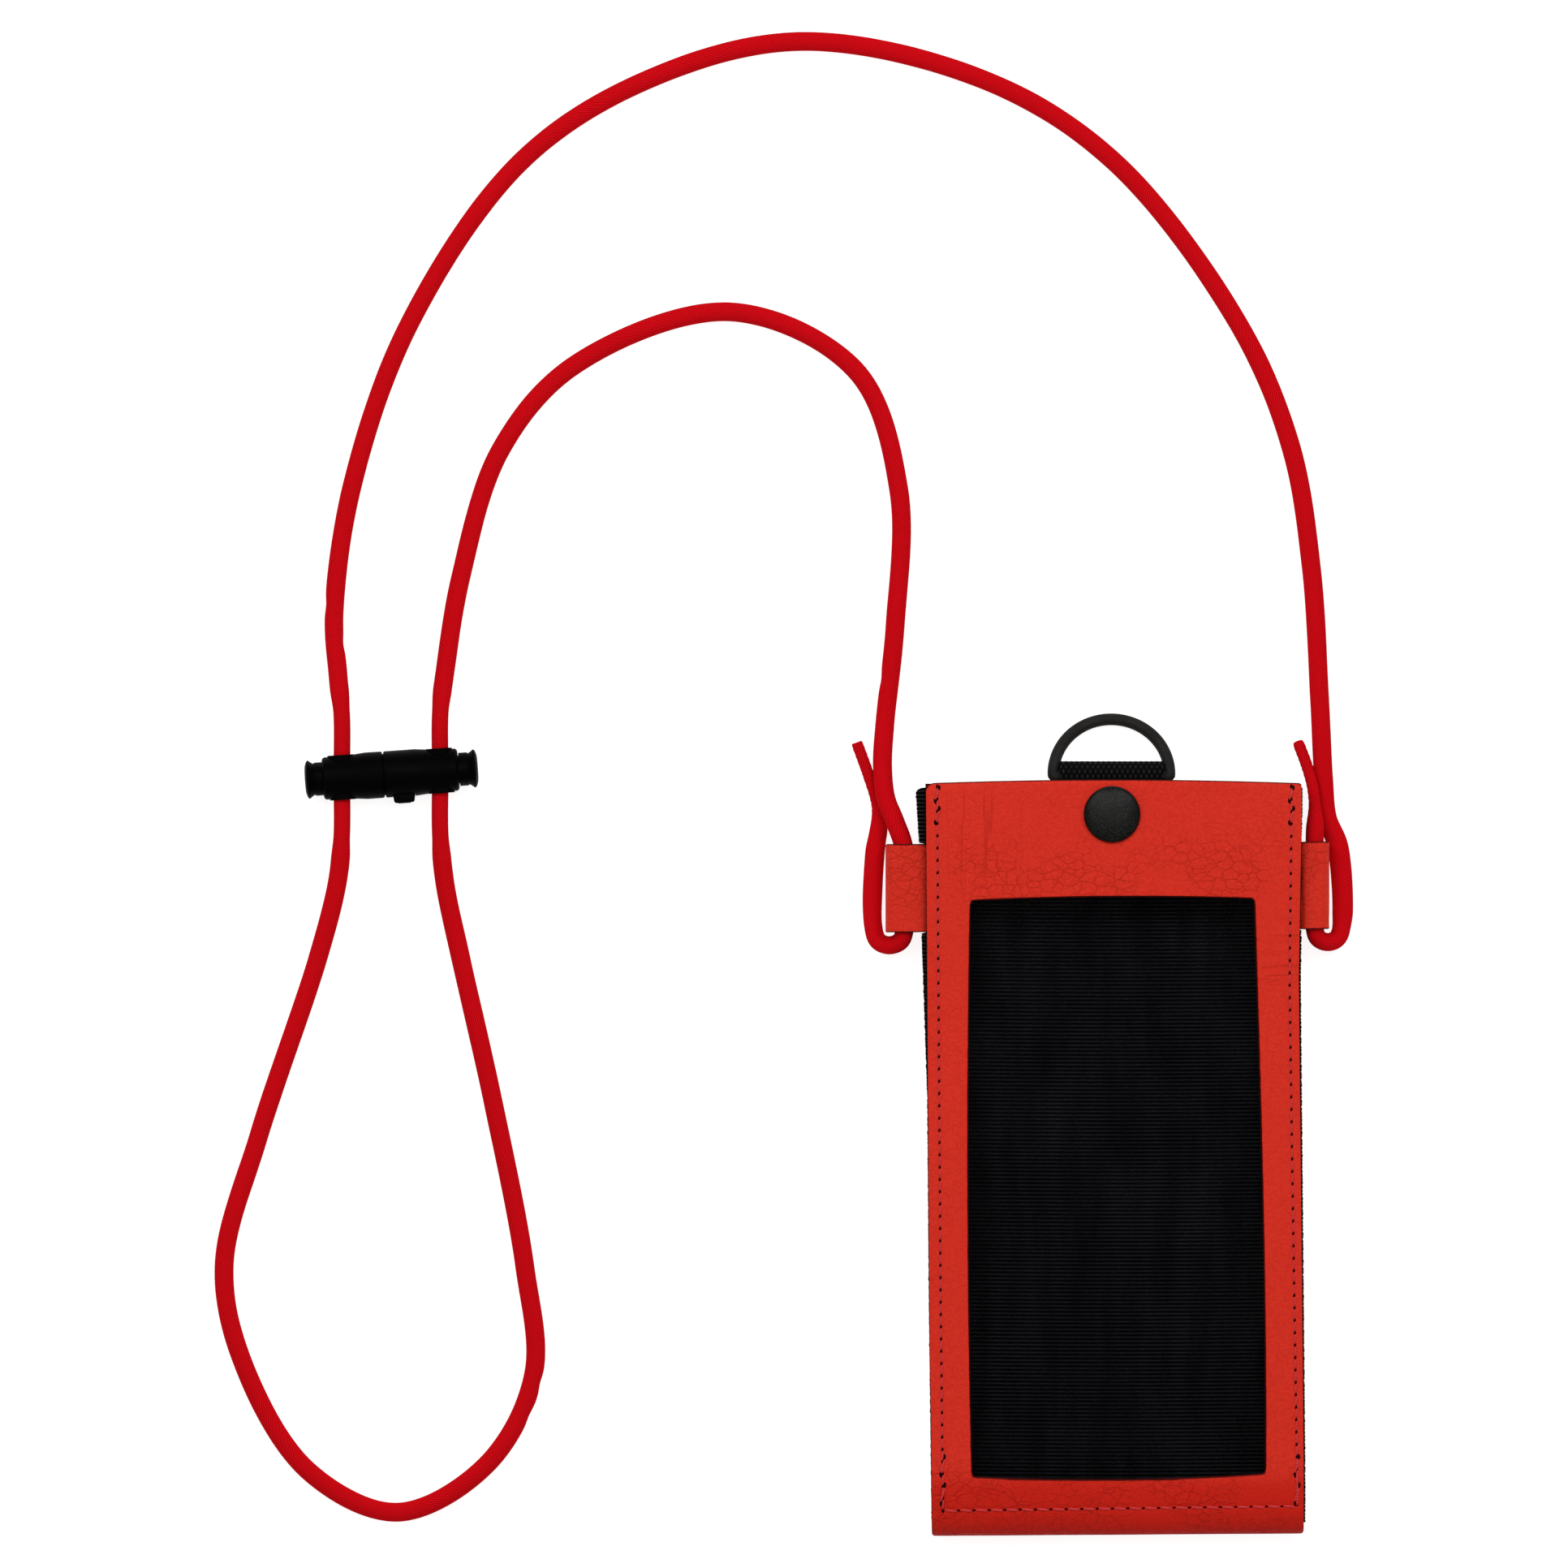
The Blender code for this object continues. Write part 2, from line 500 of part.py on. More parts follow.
def make_shells(plastic, frame):
    """Both barrel halves; the right one's spigot sits in the left one's socket."""
    seam_right = LOCK_SEAM + GAP
    end_lip = 0.0003
    left = [(-0.0040, 0.0), (-0.0040, SPRING_SEAT_RADIUS), (-PLUNGER_BORE_FLOOR, SPRING_SEAT_RADIUS),
            (-PLUNGER_BORE_FLOOR, BARREL_RADIUS), (LOCK_LEFT_END, BARREL_RADIUS),
            (LOCK_LEFT_END, LOCK_END_RADIUS - end_lip), (LOCK_LEFT_END + end_lip, LOCK_END_RADIUS - 0.0001),
            (-LOCK_BORE_X, LOCK_END_RADIUS), (LOCK_SEAM - end_lip, LOCK_WAIST_RADIUS),
            (LOCK_SEAM, LOCK_WAIST_RADIUS - end_lip), (LOCK_SEAM, SPIGOT_RADIUS + GAP),
            (LOCK_SEAM - SPIGOT_LENGTH, SPIGOT_RADIUS + GAP), (LOCK_SEAM - SPIGOT_LENGTH, 0.0)]
    spigot_end = seam_right - SPIGOT_LENGTH
    right = [(spigot_end, 0.0), (spigot_end, SPIGOT_RADIUS), (seam_right, SPIGOT_RADIUS),
             (seam_right, LOCK_WAIST_RADIUS - end_lip), (seam_right + end_lip, LOCK_WAIST_RADIUS),
             (LOCK_BORE_X, LOCK_END_RADIUS), (LOCK_RIGHT_END - end_lip, LOCK_END_RADIUS - 0.0001),
             (LOCK_RIGHT_END, LOCK_END_RADIUS - end_lip), (LOCK_RIGHT_END, BARREL_RADIUS),
             (PLUNGER_BORE_FLOOR, BARREL_RADIUS), (PLUNGER_BORE_FLOOR, SPRING_SEAT_RADIUS),
             (0.0030, SPRING_SEAT_RADIUS), (0.0030, 0.0)]
    make_shell("lock_shell_left", plastic, frame, left)
    shell = make_shell("lock_shell_right", plastic, frame, right)
    pocket = plate(box_outline(BUTTON_X[0] - GAP, BUTTON_X[1] + GAP, -0.0085, -BUTTON_FLOOR),
                   -BUTTON_HALF_HEIGHT - GAP, BUTTON_HALF_HEIGHT + GAP)
    cut(shell, make_object("button_pocket_cutter", pocket, plastic, frame))


def make_plunger(name, side, neck_end, plastic, frame):
    """Plunger with a flange to press and a slot for the cord, long enough for its travel."""
    end = neck_end + PLUNGER_FLANGE
    profile = [(PLUNGER_INNER_END, 0.0), (PLUNGER_INNER_END, PLUNGER_RADIUS), (neck_end, PLUNGER_RADIUS),
               (neck_end, PLUNGER_FLANGE_RADIUS - 0.0004), (neck_end + 0.0005, PLUNGER_FLANGE_RADIUS),
               (end - 0.0005, PLUNGER_FLANGE_RADIUS - 0.0002), (end, PLUNGER_RADIUS - 0.0010), (end, 0.0)]
    plunger = make_object(name, turned([(side * x, r) for x, r in profile], "X"), plastic, frame)
    near, far = LOCK_BORE_X - LOCK_BORE_RADIUS, LOCK_BORE_X + LOCK_BORE_RADIUS + PLUNGER_TRAVEL
    slot = plate(box_outline(min(side * near, side * far), max(side * near, side * far), -0.006, 0.006),
                 -LOCK_BORE_RADIUS, LOCK_BORE_RADIUS)
    cut(plunger, make_object(name + "_slot_cutter", slot, plastic, frame))
    make_round(plunger)


def make_spring(name, low_x, high_x, turns, steel, frame):
    """Coil spring behind a plunger."""
    count = int(12 * turns)
    low_x, high_x = low_x + SPRING_WIRE_RADIUS, high_x - SPRING_WIRE_RADIUS
    points = []
    for k in range(count + 1):
        angle = 2 * math.pi * turns * k / count
        points.append((low_x + (high_x - low_x) * k / count,
                       SPRING_RADIUS * math.cos(angle), SPRING_RADIUS * math.sin(angle)))
    make_tube(name, points, SPRING_WIRE_RADIUS, steel, sides=1, parent=frame)


def make_cord_lock(plastic, steel):
    """The two-hole cord lock on its own empty."""
    frame = make_empty("cord_lock_frame", LOCK_PLACE, LOCK_TURN)
    make_shells(plastic, frame)
    make_plunger("plunger_left", -1, 0.0202, plastic, frame)
    make_plunger("plunger_right", 1, 0.0204, plastic, frame)
    make_spring("plunger_spring_left", -PLUNGER_INNER_END + GAP, -0.0040 - GAP, 2.5, steel, frame)
    make_spring("plunger_spring_right", 0.0030 + GAP, PLUNGER_INNER_END - GAP, 3.5, steel, frame)
    button = plate(box_outline(*BUTTON_X, -BUTTON_FACE, -BUTTON_BACK, 0.0007),
                   -BUTTON_HALF_HEIGHT, BUTTON_HALF_HEIGHT)
    make_object("lock_release_button", button, plastic, frame)


# --------------------------------------------------------------------------------------------- cord

def smooth_route(route, longest_step):
    """Points along a Catmull-Rom curve through the route, each step no longer than asked."""
    ends = [Vector(route[0]) * 2 - Vector(route[1])] + [Vector(p) for p in route]
    ends.append(Vector(route[-1]) * 2 - Vector(route[-2]))
    points = []
    for p0, p1, p2, p3 in zip(ends, ends[1:], ends[2:], ends[3:]):
        d1, d2, d3 = [max((b - a).length, 1e-9) ** 0.5 for a, b in ((p0, p1), (p1, p2), (p2, p3))]
        tangent_1 = ((p1 - p0) / d1 - (p2 - p0) / (d1 + d2) + (p2 - p1) / d2) * d2
        tangent_2 = ((p2 - p1) / d2 - (p3 - p1) / (d2 + d3) + (p3 - p2) / d3) * d2
        steps = math.ceil((p2 - p1).length / longest_step)
        for k in range(steps):
            t = k / steps
            points.append(p1 * (2 * t ** 3 - 3 * t ** 2 + 1) + p2 * (3 * t ** 2 - 2 * t ** 3)
                          + tangent_1 * (t ** 3 - 2 * t ** 2 + t) + tangent_2 * (t ** 3 - t ** 2))
    return points + [Vector(route[-1])]


def cord_factors(points):
    """The cord's thickness at each point: thin tails, full strand, pressed in the tabs and the lock."""
    along = [0.0]
    for a, b in zip(points, points[1:]):
        along.append(along[-1] + (b - a).length)
    factors = []
    for point, distance in zip(points, along):
        from_end = min(distance, along[-1] - distance)
        widening = smooth_step((from_end - CORD_TAIL_LENGTH) / CORD_TAIL_WIDENING)
        radius = CORD_TAIL_RADIUS + (CORD_TUNNEL_RADIUS - CORD_TAIL_RADIUS) * widening
        radius += (CORD_RADIUS - CORD_TUNNEL_RADIUS) * smooth_step((from_end - CORD_TAB_LENGTH) / CORD_TAB_WIDENING)
        if point.x < CORD_NEAR_LOCK_X and abs(point.y - LOCK_PLACE[1]) < CORD_LOCK_REACH:
            radius = CORD_LOCK_RADIUS
        factors.append(radius / CORD_RADIUS)
    return factors


def thinned(points, factors):
    """The points of the fine curve that the tube keeps, so that it strays little from the curve."""
    kept = [0]
    for index in range(1, len(points) - 1):
        start = points[kept[-1]]
        chord = points[index + 1] - start
        strayed = max((p - start).cross(chord).length for p in points[kept[-1]:index + 1]) / chord.length
        from_end = min(index, len(points) - index) * CORD_FINE_STEP
        allowed = CORD_TAB_SLACK if from_end < CORD_TAB_LENGTH else CORD_SLACK
        if strayed > allowed or chord.length > CORD_STEP:
            kept.append(index)
    kept.append(len(points) - 1)
    return [points[k] for k in kept], [factors[k] for k in kept]


def make_cord(fabric):
    """The one neck cord, from its right tail to its left tail."""
    fine = smooth_route(CORD_ROUTE, CORD_FINE_STEP)
    points, factors = thinned(fine, cord_factors(fine))
    make_tube("neck_cord", points, CORD_RADIUS, fabric, factors=factors)


def main():
    clear_scene()
    leather = make_material("red_leather", (0.62, 0.035, 0.018), 0.5)
    elastic = make_material("black_elastic", (0.012, 0.013, 0.016), 0.85)
    webbing = make_material("black_webbing", (0.015, 0.015, 0.017), 0.8)
    film = make_material("clear_film", (0.9, 0.93, 0.95), 0.1, alpha=0.25)
    painted = make_material("black_metal", (0.02, 0.02, 0.021), 0.45, 0.4)
    steel = make_material("bare_steel", (0.55, 0.55, 0.56), 0.3, 1.0)
    plastic = make_material("black_plastic", (0.01, 0.01, 0.011), 0.4)
    fabric = make_material("red_cord", (0.58, 0.0, 0.01), 0.7)
    make_pouch(leather, elastic, film)
    make_strap(webbing)
    make_snap(painted, steel)
    make_d_ring(painted)
    make_cord_lock(plastic, steel)
    make_cord(fabric)


main()
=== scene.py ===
"""Looks of the phone wallet case: detailed pieces and materials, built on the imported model.

The pouch lies on its back on a pale floor and the camera looks straight down on it.  X runs across the
pouch, Y towards its mouth and Z out of its front.  All sizes are metres.
"""

import json
import math

import bmesh
import bpy
import numpy as np
from mathutils import Matrix, Vector, noise


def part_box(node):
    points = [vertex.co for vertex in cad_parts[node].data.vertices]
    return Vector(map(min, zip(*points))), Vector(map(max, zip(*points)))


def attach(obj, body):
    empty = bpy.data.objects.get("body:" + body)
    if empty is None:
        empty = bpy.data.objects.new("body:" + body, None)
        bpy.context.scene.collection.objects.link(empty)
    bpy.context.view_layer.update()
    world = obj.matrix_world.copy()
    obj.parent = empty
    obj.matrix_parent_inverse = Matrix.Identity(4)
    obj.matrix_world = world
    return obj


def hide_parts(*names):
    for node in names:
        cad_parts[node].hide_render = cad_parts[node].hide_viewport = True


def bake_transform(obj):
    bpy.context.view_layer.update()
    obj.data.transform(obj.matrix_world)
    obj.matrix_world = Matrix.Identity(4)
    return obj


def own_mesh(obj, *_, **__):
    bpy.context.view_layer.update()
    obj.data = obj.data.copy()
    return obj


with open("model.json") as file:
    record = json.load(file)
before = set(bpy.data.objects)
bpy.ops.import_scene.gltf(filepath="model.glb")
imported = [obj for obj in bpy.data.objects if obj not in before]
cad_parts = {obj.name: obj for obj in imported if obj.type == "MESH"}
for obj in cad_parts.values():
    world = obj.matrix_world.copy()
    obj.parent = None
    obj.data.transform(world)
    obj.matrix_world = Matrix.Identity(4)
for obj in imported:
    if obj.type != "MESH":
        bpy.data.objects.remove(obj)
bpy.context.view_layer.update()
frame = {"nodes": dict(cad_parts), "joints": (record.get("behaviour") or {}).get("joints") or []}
JOINTS = {joint["name"]: joint for joint in frame["joints"]}

# Camera: straight down, from so far off that height hardly shifts anything
VIEW_CENTER = (-0.0831, 0.0939)
VIEW_WIDTH = 0.3951
CAMERA_HEIGHT = 5.0
SENSOR = 36.0

# Pouch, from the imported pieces
FRONT_LOW, FRONT_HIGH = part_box("front_frame")
BACK_LOW, BACK_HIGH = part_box("back_panel")
LEATHER = FRONT_HIGH.z - FRONT_LOW.z
FOLD_CENTER = Vector(JOINTS["front_open"]["pos_m"])
FOLD_RADIUS = FOLD_CENTER.z - BACK_LOW.z

# Outline of the leather and its window: places along the other axis, with the edge there
LEFT_EDGE = ((-0.0950, -0.0459), (-0.0360, -0.0466), (0.0950, -0.0475))
RIGHT_EDGE = ((-0.0950, 0.0476), (-0.0750, 0.0475), (0.0450, 0.0463), (0.0870, 0.0470), (0.0950, 0.0469))
TOP_ARCH = 0.0009
LEFT_CORNER, RIGHT_CORNER = 0.0022, 0.0006   # radii of the front's upper corners
WINDOW_LEFT = ((-0.0800, -0.0357), (-0.0100, -0.0367), (0.0645, -0.0361))
WINDOW_RIGHT = ((-0.0790, 0.0377), (-0.0357, 0.0375), (0.0257, 0.0361), (0.0650, 0.0349))
WINDOW_TOP = ((-0.0361, 0.0645), (0.0, 0.0655), (0.0349, 0.0650))
WINDOW_BOTTOM = ((-0.0357, -0.0801), (-0.0190, -0.0807), (0.0377, -0.0793))
WINDOW_CORNER = 0.0008
SLOPE_START = -0.0815                    # end of the rows of mesh that follow the window
BEND_START = -0.0770                     # the front starts to bend down to the fold here
FOLD_CORNER, FOLD_SKEW = 0.0006, 0.0065  # the fold's rounded corners, and its rise towards the right

# Columns of the shell's mesh beside the window and over half of it: ends of stretches, and their spacing
SIDE_COLUMNS = ((0.00004, 0.00004), (0.00016, 0.00012), (0.0004, 0.0002), (0.0016, 0.0003),
                (0.0044, 0.00025), (0.0100, 0.0005), (0.0109, 0.0003))
WINDOW_COLUMNS = ((0.00004, 0.00004), (0.00016, 0.00012), (0.0010, 0.0002), (0.0022, 0.0006),
                  (0.0365, 0.0011))

# Stitching
LEFT_SEAM_INSET = 0.00285
RIGHT_SEAM_INSET = ((-0.0876, 0.0017), (0.0, 0.0022), (0.0932, 0.0026))
SEAM_TOP = 0.0932
SEAM_BOTTOM_LEFT, SEAM_BOTTOM_RIGHT = -0.0887, -0.0876
SIDE_PITCH, BOTTOM_PITCH = 0.0031, 0.0038
THREAD_RADIUS = 0.00028
SIDE_HOLE, BOTTOM_HOLE, TACK_HOLE = (0.00068, 0.00031), (0.00045, 0.00030), (0.00085, 0.00052)
BACK_TACKS = ((0.0848, 0.0926), (-0.0862, -0.0755))
# Shares of a stitch: bare at each hole, how deep its ends lie in the leather, how wide they are
STITCH_GAP, STITCH_SINK, STITCH_END_WIDTH = 0.10, 0.55, 0.55
HOLE_RIM_LIFT, HOLE_MIDDLE_LIFT, HOLE_DEPTH = 0.00002, 0.00005, 0.00030
POCKET_SEAM_INSET, POCKET_SEAM_END = 0.0022, 0.0012

# Ribs of the elastic, and the weave of the webbing
RIB_PITCH, RIB_DEPTH = 0.00098, 0.00034
WEAVE_WIDE, WEAVE_LONG, WEAVE_DEPTH = 0.00135, 0.00115, 0.00030
STRAP_THICKNESS, STRAP_HALF_WIDTH = 0.0012, 0.01308

# How far the elastic's raw edges stand past the leather: place along the pouch, length
LEFT_RAW_EDGE = ((-0.0915, -0.0002), (0.0150, -0.0001), (0.0540, 0.0010), (0.0800, 0.0016), (0.0925, 0.0023))
RIGHT_RAW_EDGE = ((-0.0915, 0.0002), (0.0540, 0.0003), (0.0800, -0.0001), (0.0930, 0.0001))
WEB_X = 0.0430
FLANGE_BEND_X = 0.0450

# D-ring
RING_WIRE = 0.0015
RING_RADIUS = 0.0146
RING_LEG = 0.0008

# Cord lock, in its own frame: X along the barrel, Y along the cord, Z up
LOCK_BORE_X, LOCK_BORE_RADIUS = 0.0124, 0.0028
LOCK_SEAM, LOCK_SEAM_GAP = -0.0019, 0.0003
LOCK_END_RADIUS, LOCK_WAIST_RADIUS = 0.00535, 0.00595
LOCK_LEFT_END, LOCK_RIGHT_END = -0.0172, 0.0170
LOCK_BARREL_BORE, LOCK_SPRING_BORE = 0.0045, 0.0030
LOCK_TAPER = ((0.0062, 0.00588), (0.0095, 0.00555), (LOCK_BORE_X, LOCK_END_RADIUS))   # place, radius
LOCK_LIP, LOCK_CUT_END = 0.0005, 0.030   # rounding of the barrel's ends, and where cuts into them start
LOCK_SPIGOT_RADIUS, LOCK_SPIGOT_LENGTH = 0.0052, 0.0013
BUTTON_POCKET = ((0.0001, -0.0085, -0.0026), (0.0058, -0.0036, 0.0026))
BUTTON_BASE, BUTTON_BACK, BUTTON_FACE, BUTTON_NARROWING = (0.00005, 0.0058), -0.0050, -0.0074, 0.86
BUTTON_HALF_HEIGHT, BUTTON_RIDGES = 0.0023, (-0.0012, 0.0, 0.0012)
LOCK_COLLAR_RADIUS, LOCK_COLLAR_REACH = 0.0033, 0.00565
PLUNGER_RADIUS, PLUNGER_INNER, PLUNGER_FLOOR = 0.0042, 0.0084, 0.0061
# Outline of a plunger's grooved neck, flared flange and dished face: places past the neck's end, radii
PLUNGER_OUTLINE = ((-0.0011, 0.0042), (-0.0009, 0.0040), (-0.0006, 0.0040), (-0.0004, 0.0042), (0.0, 0.0044),
                   (0.0003, 0.00475), (0.0006, 0.00485), (0.0010, 0.00455), (0.0014, 0.0034),
                   (0.0015, 0.0024), (0.0012, 0.0018), (0.0012, 0.0))
PLUNGER_NECK_ENDS = {"plunger_left": 0.0202, "plunger_right": 0.0204}
LOCK_SEATS = {-1: -0.0040, 1: 0.0030}    # ends of the two deep bores, left and right
SPRING_RADIUS, SPRING_WIRE, SPRING_GAP, SPRING_TURNS = 0.0023, 0.00025, 0.0001, {-1: 2.5, 1: 3.5}
PLUNGER_TRAVEL = 0.0020
LOCK_MIDDLE_OFFSET = 0.00005             # from the middle between the plungers to the lock's own middle

# Neck cord
CORD_RADIUS, CORD_TUNNEL_RADIUS, CORD_TAIL_RADIUS, CORD_LOCK_RADIUS = 0.0024, 0.0023, 0.00145, 0.0021
CORD_TAIL_LENGTH, CORD_TAIL_WIDENING, CORD_TAB_LENGTH, CORD_TAB_WIDENING = 0.016, 0.008, 0.060, 0.020
CORD_LOCK_REACH, CORD_LOCK_EASE = 0.0155, 0.006
CORD_STEP = 0.0006
CORD_SIDES = 28
# Places where the cord is pinched on one side: the place, the way it is pressed, the depth
CORD_DENTS = [
    ((-0.1975, 0.1390), (1.0, 0.0), 0.00035), ((-0.1968, 0.1290), (-1.0, 0.0), 0.00030),
    ((-0.1468, -0.0565), (-1.0, -0.2), 0.00034), ((-0.1486, -0.0645), (-1.0, 0.4), 0.00030),
    ((0.0575, 0.0905), (-1.0, 0.0), 0.00035), ((-0.0560, 0.1200), (1.0, 0.0), 0.00025),
]
# Stretches where the bent cord is pressed wide: distances from the right or left end, growth to each side
CORD_SWELLS = [("right", 0.060, 0.090, 0.00030), ("left", 0.024, 0.048, 0.00018)]
CORD_YARN_ACROSS, CORD_YARN_ALONG, CORD_BAND = 0.00055, 0.00095, 0.0075
TAIL_RIB_DEPTH, TAIL_RIB_PITCH = 0.00005, 0.0009

# Snap
SNAP_RADIUS = 0.0071
SNAP_CENTER = (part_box("snap_cap")[0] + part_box("snap_cap")[1]) / 2
SNAP_SHANK_RADIUS, SNAP_RIM_LIFT, SNAP_RIM_HEIGHT = 0.0016, 0.0003, 0.0005
STUD_HOLE_RADIUS = 0.0016

# Relief of the front's outer face
SEAM_DEPTH, SIDE_SEAM_WIDTH, BOTTOM_SEAM_WIDTH = 0.00016, 0.0006, 0.0007
EDGE_DROP, EDGE_WIDTH = 0.00022, 0.0009
SNAP_DENT, SNAP_DENT_WIDTH = 0.00022, 0.0007
# Wrinkled places on the front: X range, Y range, how much each way is stretched, scale
WRINKLES = [((-0.0430, -0.0240), (0.0680, 0.0960), (1.0, 0.12), 300.0),
            ((0.0340, 0.0500), (0.0420, 0.0620), (0.12, 1.0), 480.0)]
WRINKLE_DEPTH = 0.00018
# Painted shade on the leather under the window and at the fold, where it curves away from the light: darker
# colours mixed into its base colour
LOWER_PAINTED_SHADE = (0.480, 0.0030, 0.0006)
FOLD_PAINTED_SHADE = (0.205, 0.0004, 0.0001)

# Back pocket, tabs and elastic sides
NOTCH_RADIUS = 0.0100
POCKET_LIFT = 0.0002
TAB_NECK, TAB_WALL = 0.0021, 0.0012
ELASTIC = 0.0008
GUSSET_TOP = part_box("gusset_left")[1].y

# Floor, surround and lights; a light is a name, a place, a size and a power
FLOOR_HALF_WIDTH, FLOOR_GREY, FLOOR_GLOW = 1.5, 0.35, 0.85
SURROUND = 0.42
LIGHTS = [("overhead", (-0.08, 0.45, 1.60), 1.0, 7.5), ("left", (-0.75, 0.90, 1.40), 0.7, 7.2),
          ("right", (0.60, 0.90, 1.40), 0.7, 7.2)]

# The cord's middle line, given point by point; the part's source holds the same list
CORD_ROUTE = [
    # right tail, over the strand beside it, and down through the right tab
    (0.0464, 0.1044, 0.0016), (0.0487, 0.0980, 0.0041), (0.0500, 0.0928, 0.0062), (0.0505, 0.0865, 0.0077),
    (0.0504, 0.0795, 0.0082), (0.0504, 0.0680, 0.0082), (0.0504, 0.0576, 0.0082),
    # round the right tab's outer side
    (0.0513, 0.0551, 0.0072), (0.0539, 0.0541, 0.0055), (0.0564, 0.0553, 0.0038), (0.0575, 0.0598, 0.0027),
    (0.0564, 0.0780, 0.0025), (0.0537, 0.0855, 0.0025), (0.0528, 0.0950, 0.0025),
    # round the neck
    (0.0518, 0.1150, 0.0025), (0.0497, 0.1484, 0.0025), (0.0445, 0.1790, 0.0025), (0.0314, 0.2097, 0.0025),
    (0.0001, 0.2506, 0.0025), (-0.0324, 0.2711, 0.0025), (-0.0792, 0.2809, 0.0025),
    (-0.1179, 0.2711, 0.0025), (-0.1494, 0.2506, 0.0025), (-0.1775, 0.2097, 0.0025),
    (-0.1919, 0.1688, 0.0026), (-0.1964, 0.1370, 0.0027),
    # down through the lock's left bore
    (-0.1954, 0.1215, 0.0044), (-0.1944, 0.1110, 0.0060), (-0.1944, 0.0960, 0.0060),
    (-0.1944, 0.0810, 0.0060), (-0.1955, 0.0695, 0.0043), (-0.2005, 0.0500, 0.0027),
    # the loose loop under the lock
    (-0.2154, 0.0052, 0.0026), (-0.2241, -0.0275, 0.0025), (-0.2193, -0.0520, 0.0025),
    (-0.2030, -0.0790, 0.0025), (-0.1805, -0.0895, 0.0025), (-0.1580, -0.0775, 0.0025),
    (-0.1462, -0.0550, 0.0025), (-0.1484, -0.0275, 0.0025), (-0.1565, 0.0145, 0.0026),
    (-0.1645, 0.0500, 0.0027),
    # up through the lock's right bore
    (-0.1684, 0.0685, 0.0041), (-0.1696, 0.0810, 0.0060), (-0.1696, 0.0965, 0.0060),
    (-0.1696, 0.1120, 0.0060), (-0.1684, 0.1225, 0.0043), (-0.1645, 0.1460, 0.0027),
    # the inner strand, back to the pouch
    (-0.1545, 0.1780, 0.0026), (-0.1357, 0.1995, 0.0025), (-0.0966, 0.2128, 0.0025),
    (-0.0650, 0.1980, 0.0025), (-0.0542, 0.1680, 0.0025), (-0.0551, 0.1340, 0.0026),
    (-0.0577, 0.1090, 0.0026), (-0.0583, 0.0985, 0.0036),
    # down through the left tab and round its outer side, to the left tail
    (-0.0575, 0.0905, 0.0057), (-0.0552, 0.0845, 0.0077), (-0.0530, 0.0780, 0.0083),
    (-0.0528, 0.0675, 0.0082), (-0.0529, 0.0566, 0.0082), (-0.0539, 0.0543, 0.0072),
    (-0.0567, 0.0533, 0.0055), (-0.0595, 0.0545, 0.0037), (-0.0607, 0.0587, 0.0026),
    (-0.0602, 0.0765, 0.0026), (-0.0592, 0.0835, 0.0023), (-0.0598, 0.0895, 0.0016),
    (-0.0617, 0.0958, 0.0016), (-0.0648, 0.1044, 0.0016),
]


# ---------- material tools

def add_node(tree, kind, inputs, output=0, **settings):
    """Add a shader node, set it up, fill its inputs with numbers or Values, and give one of its outputs."""
    made = tree.nodes.new(kind)
    for key, value in settings.items():
        setattr(made, key, value)
    for key, value in inputs.items():
        if isinstance(value, Value):
            tree.links.new(value.socket, made.inputs[key])
        else:
            made.inputs[key].default_value = value
    return Value(made.outputs[output])


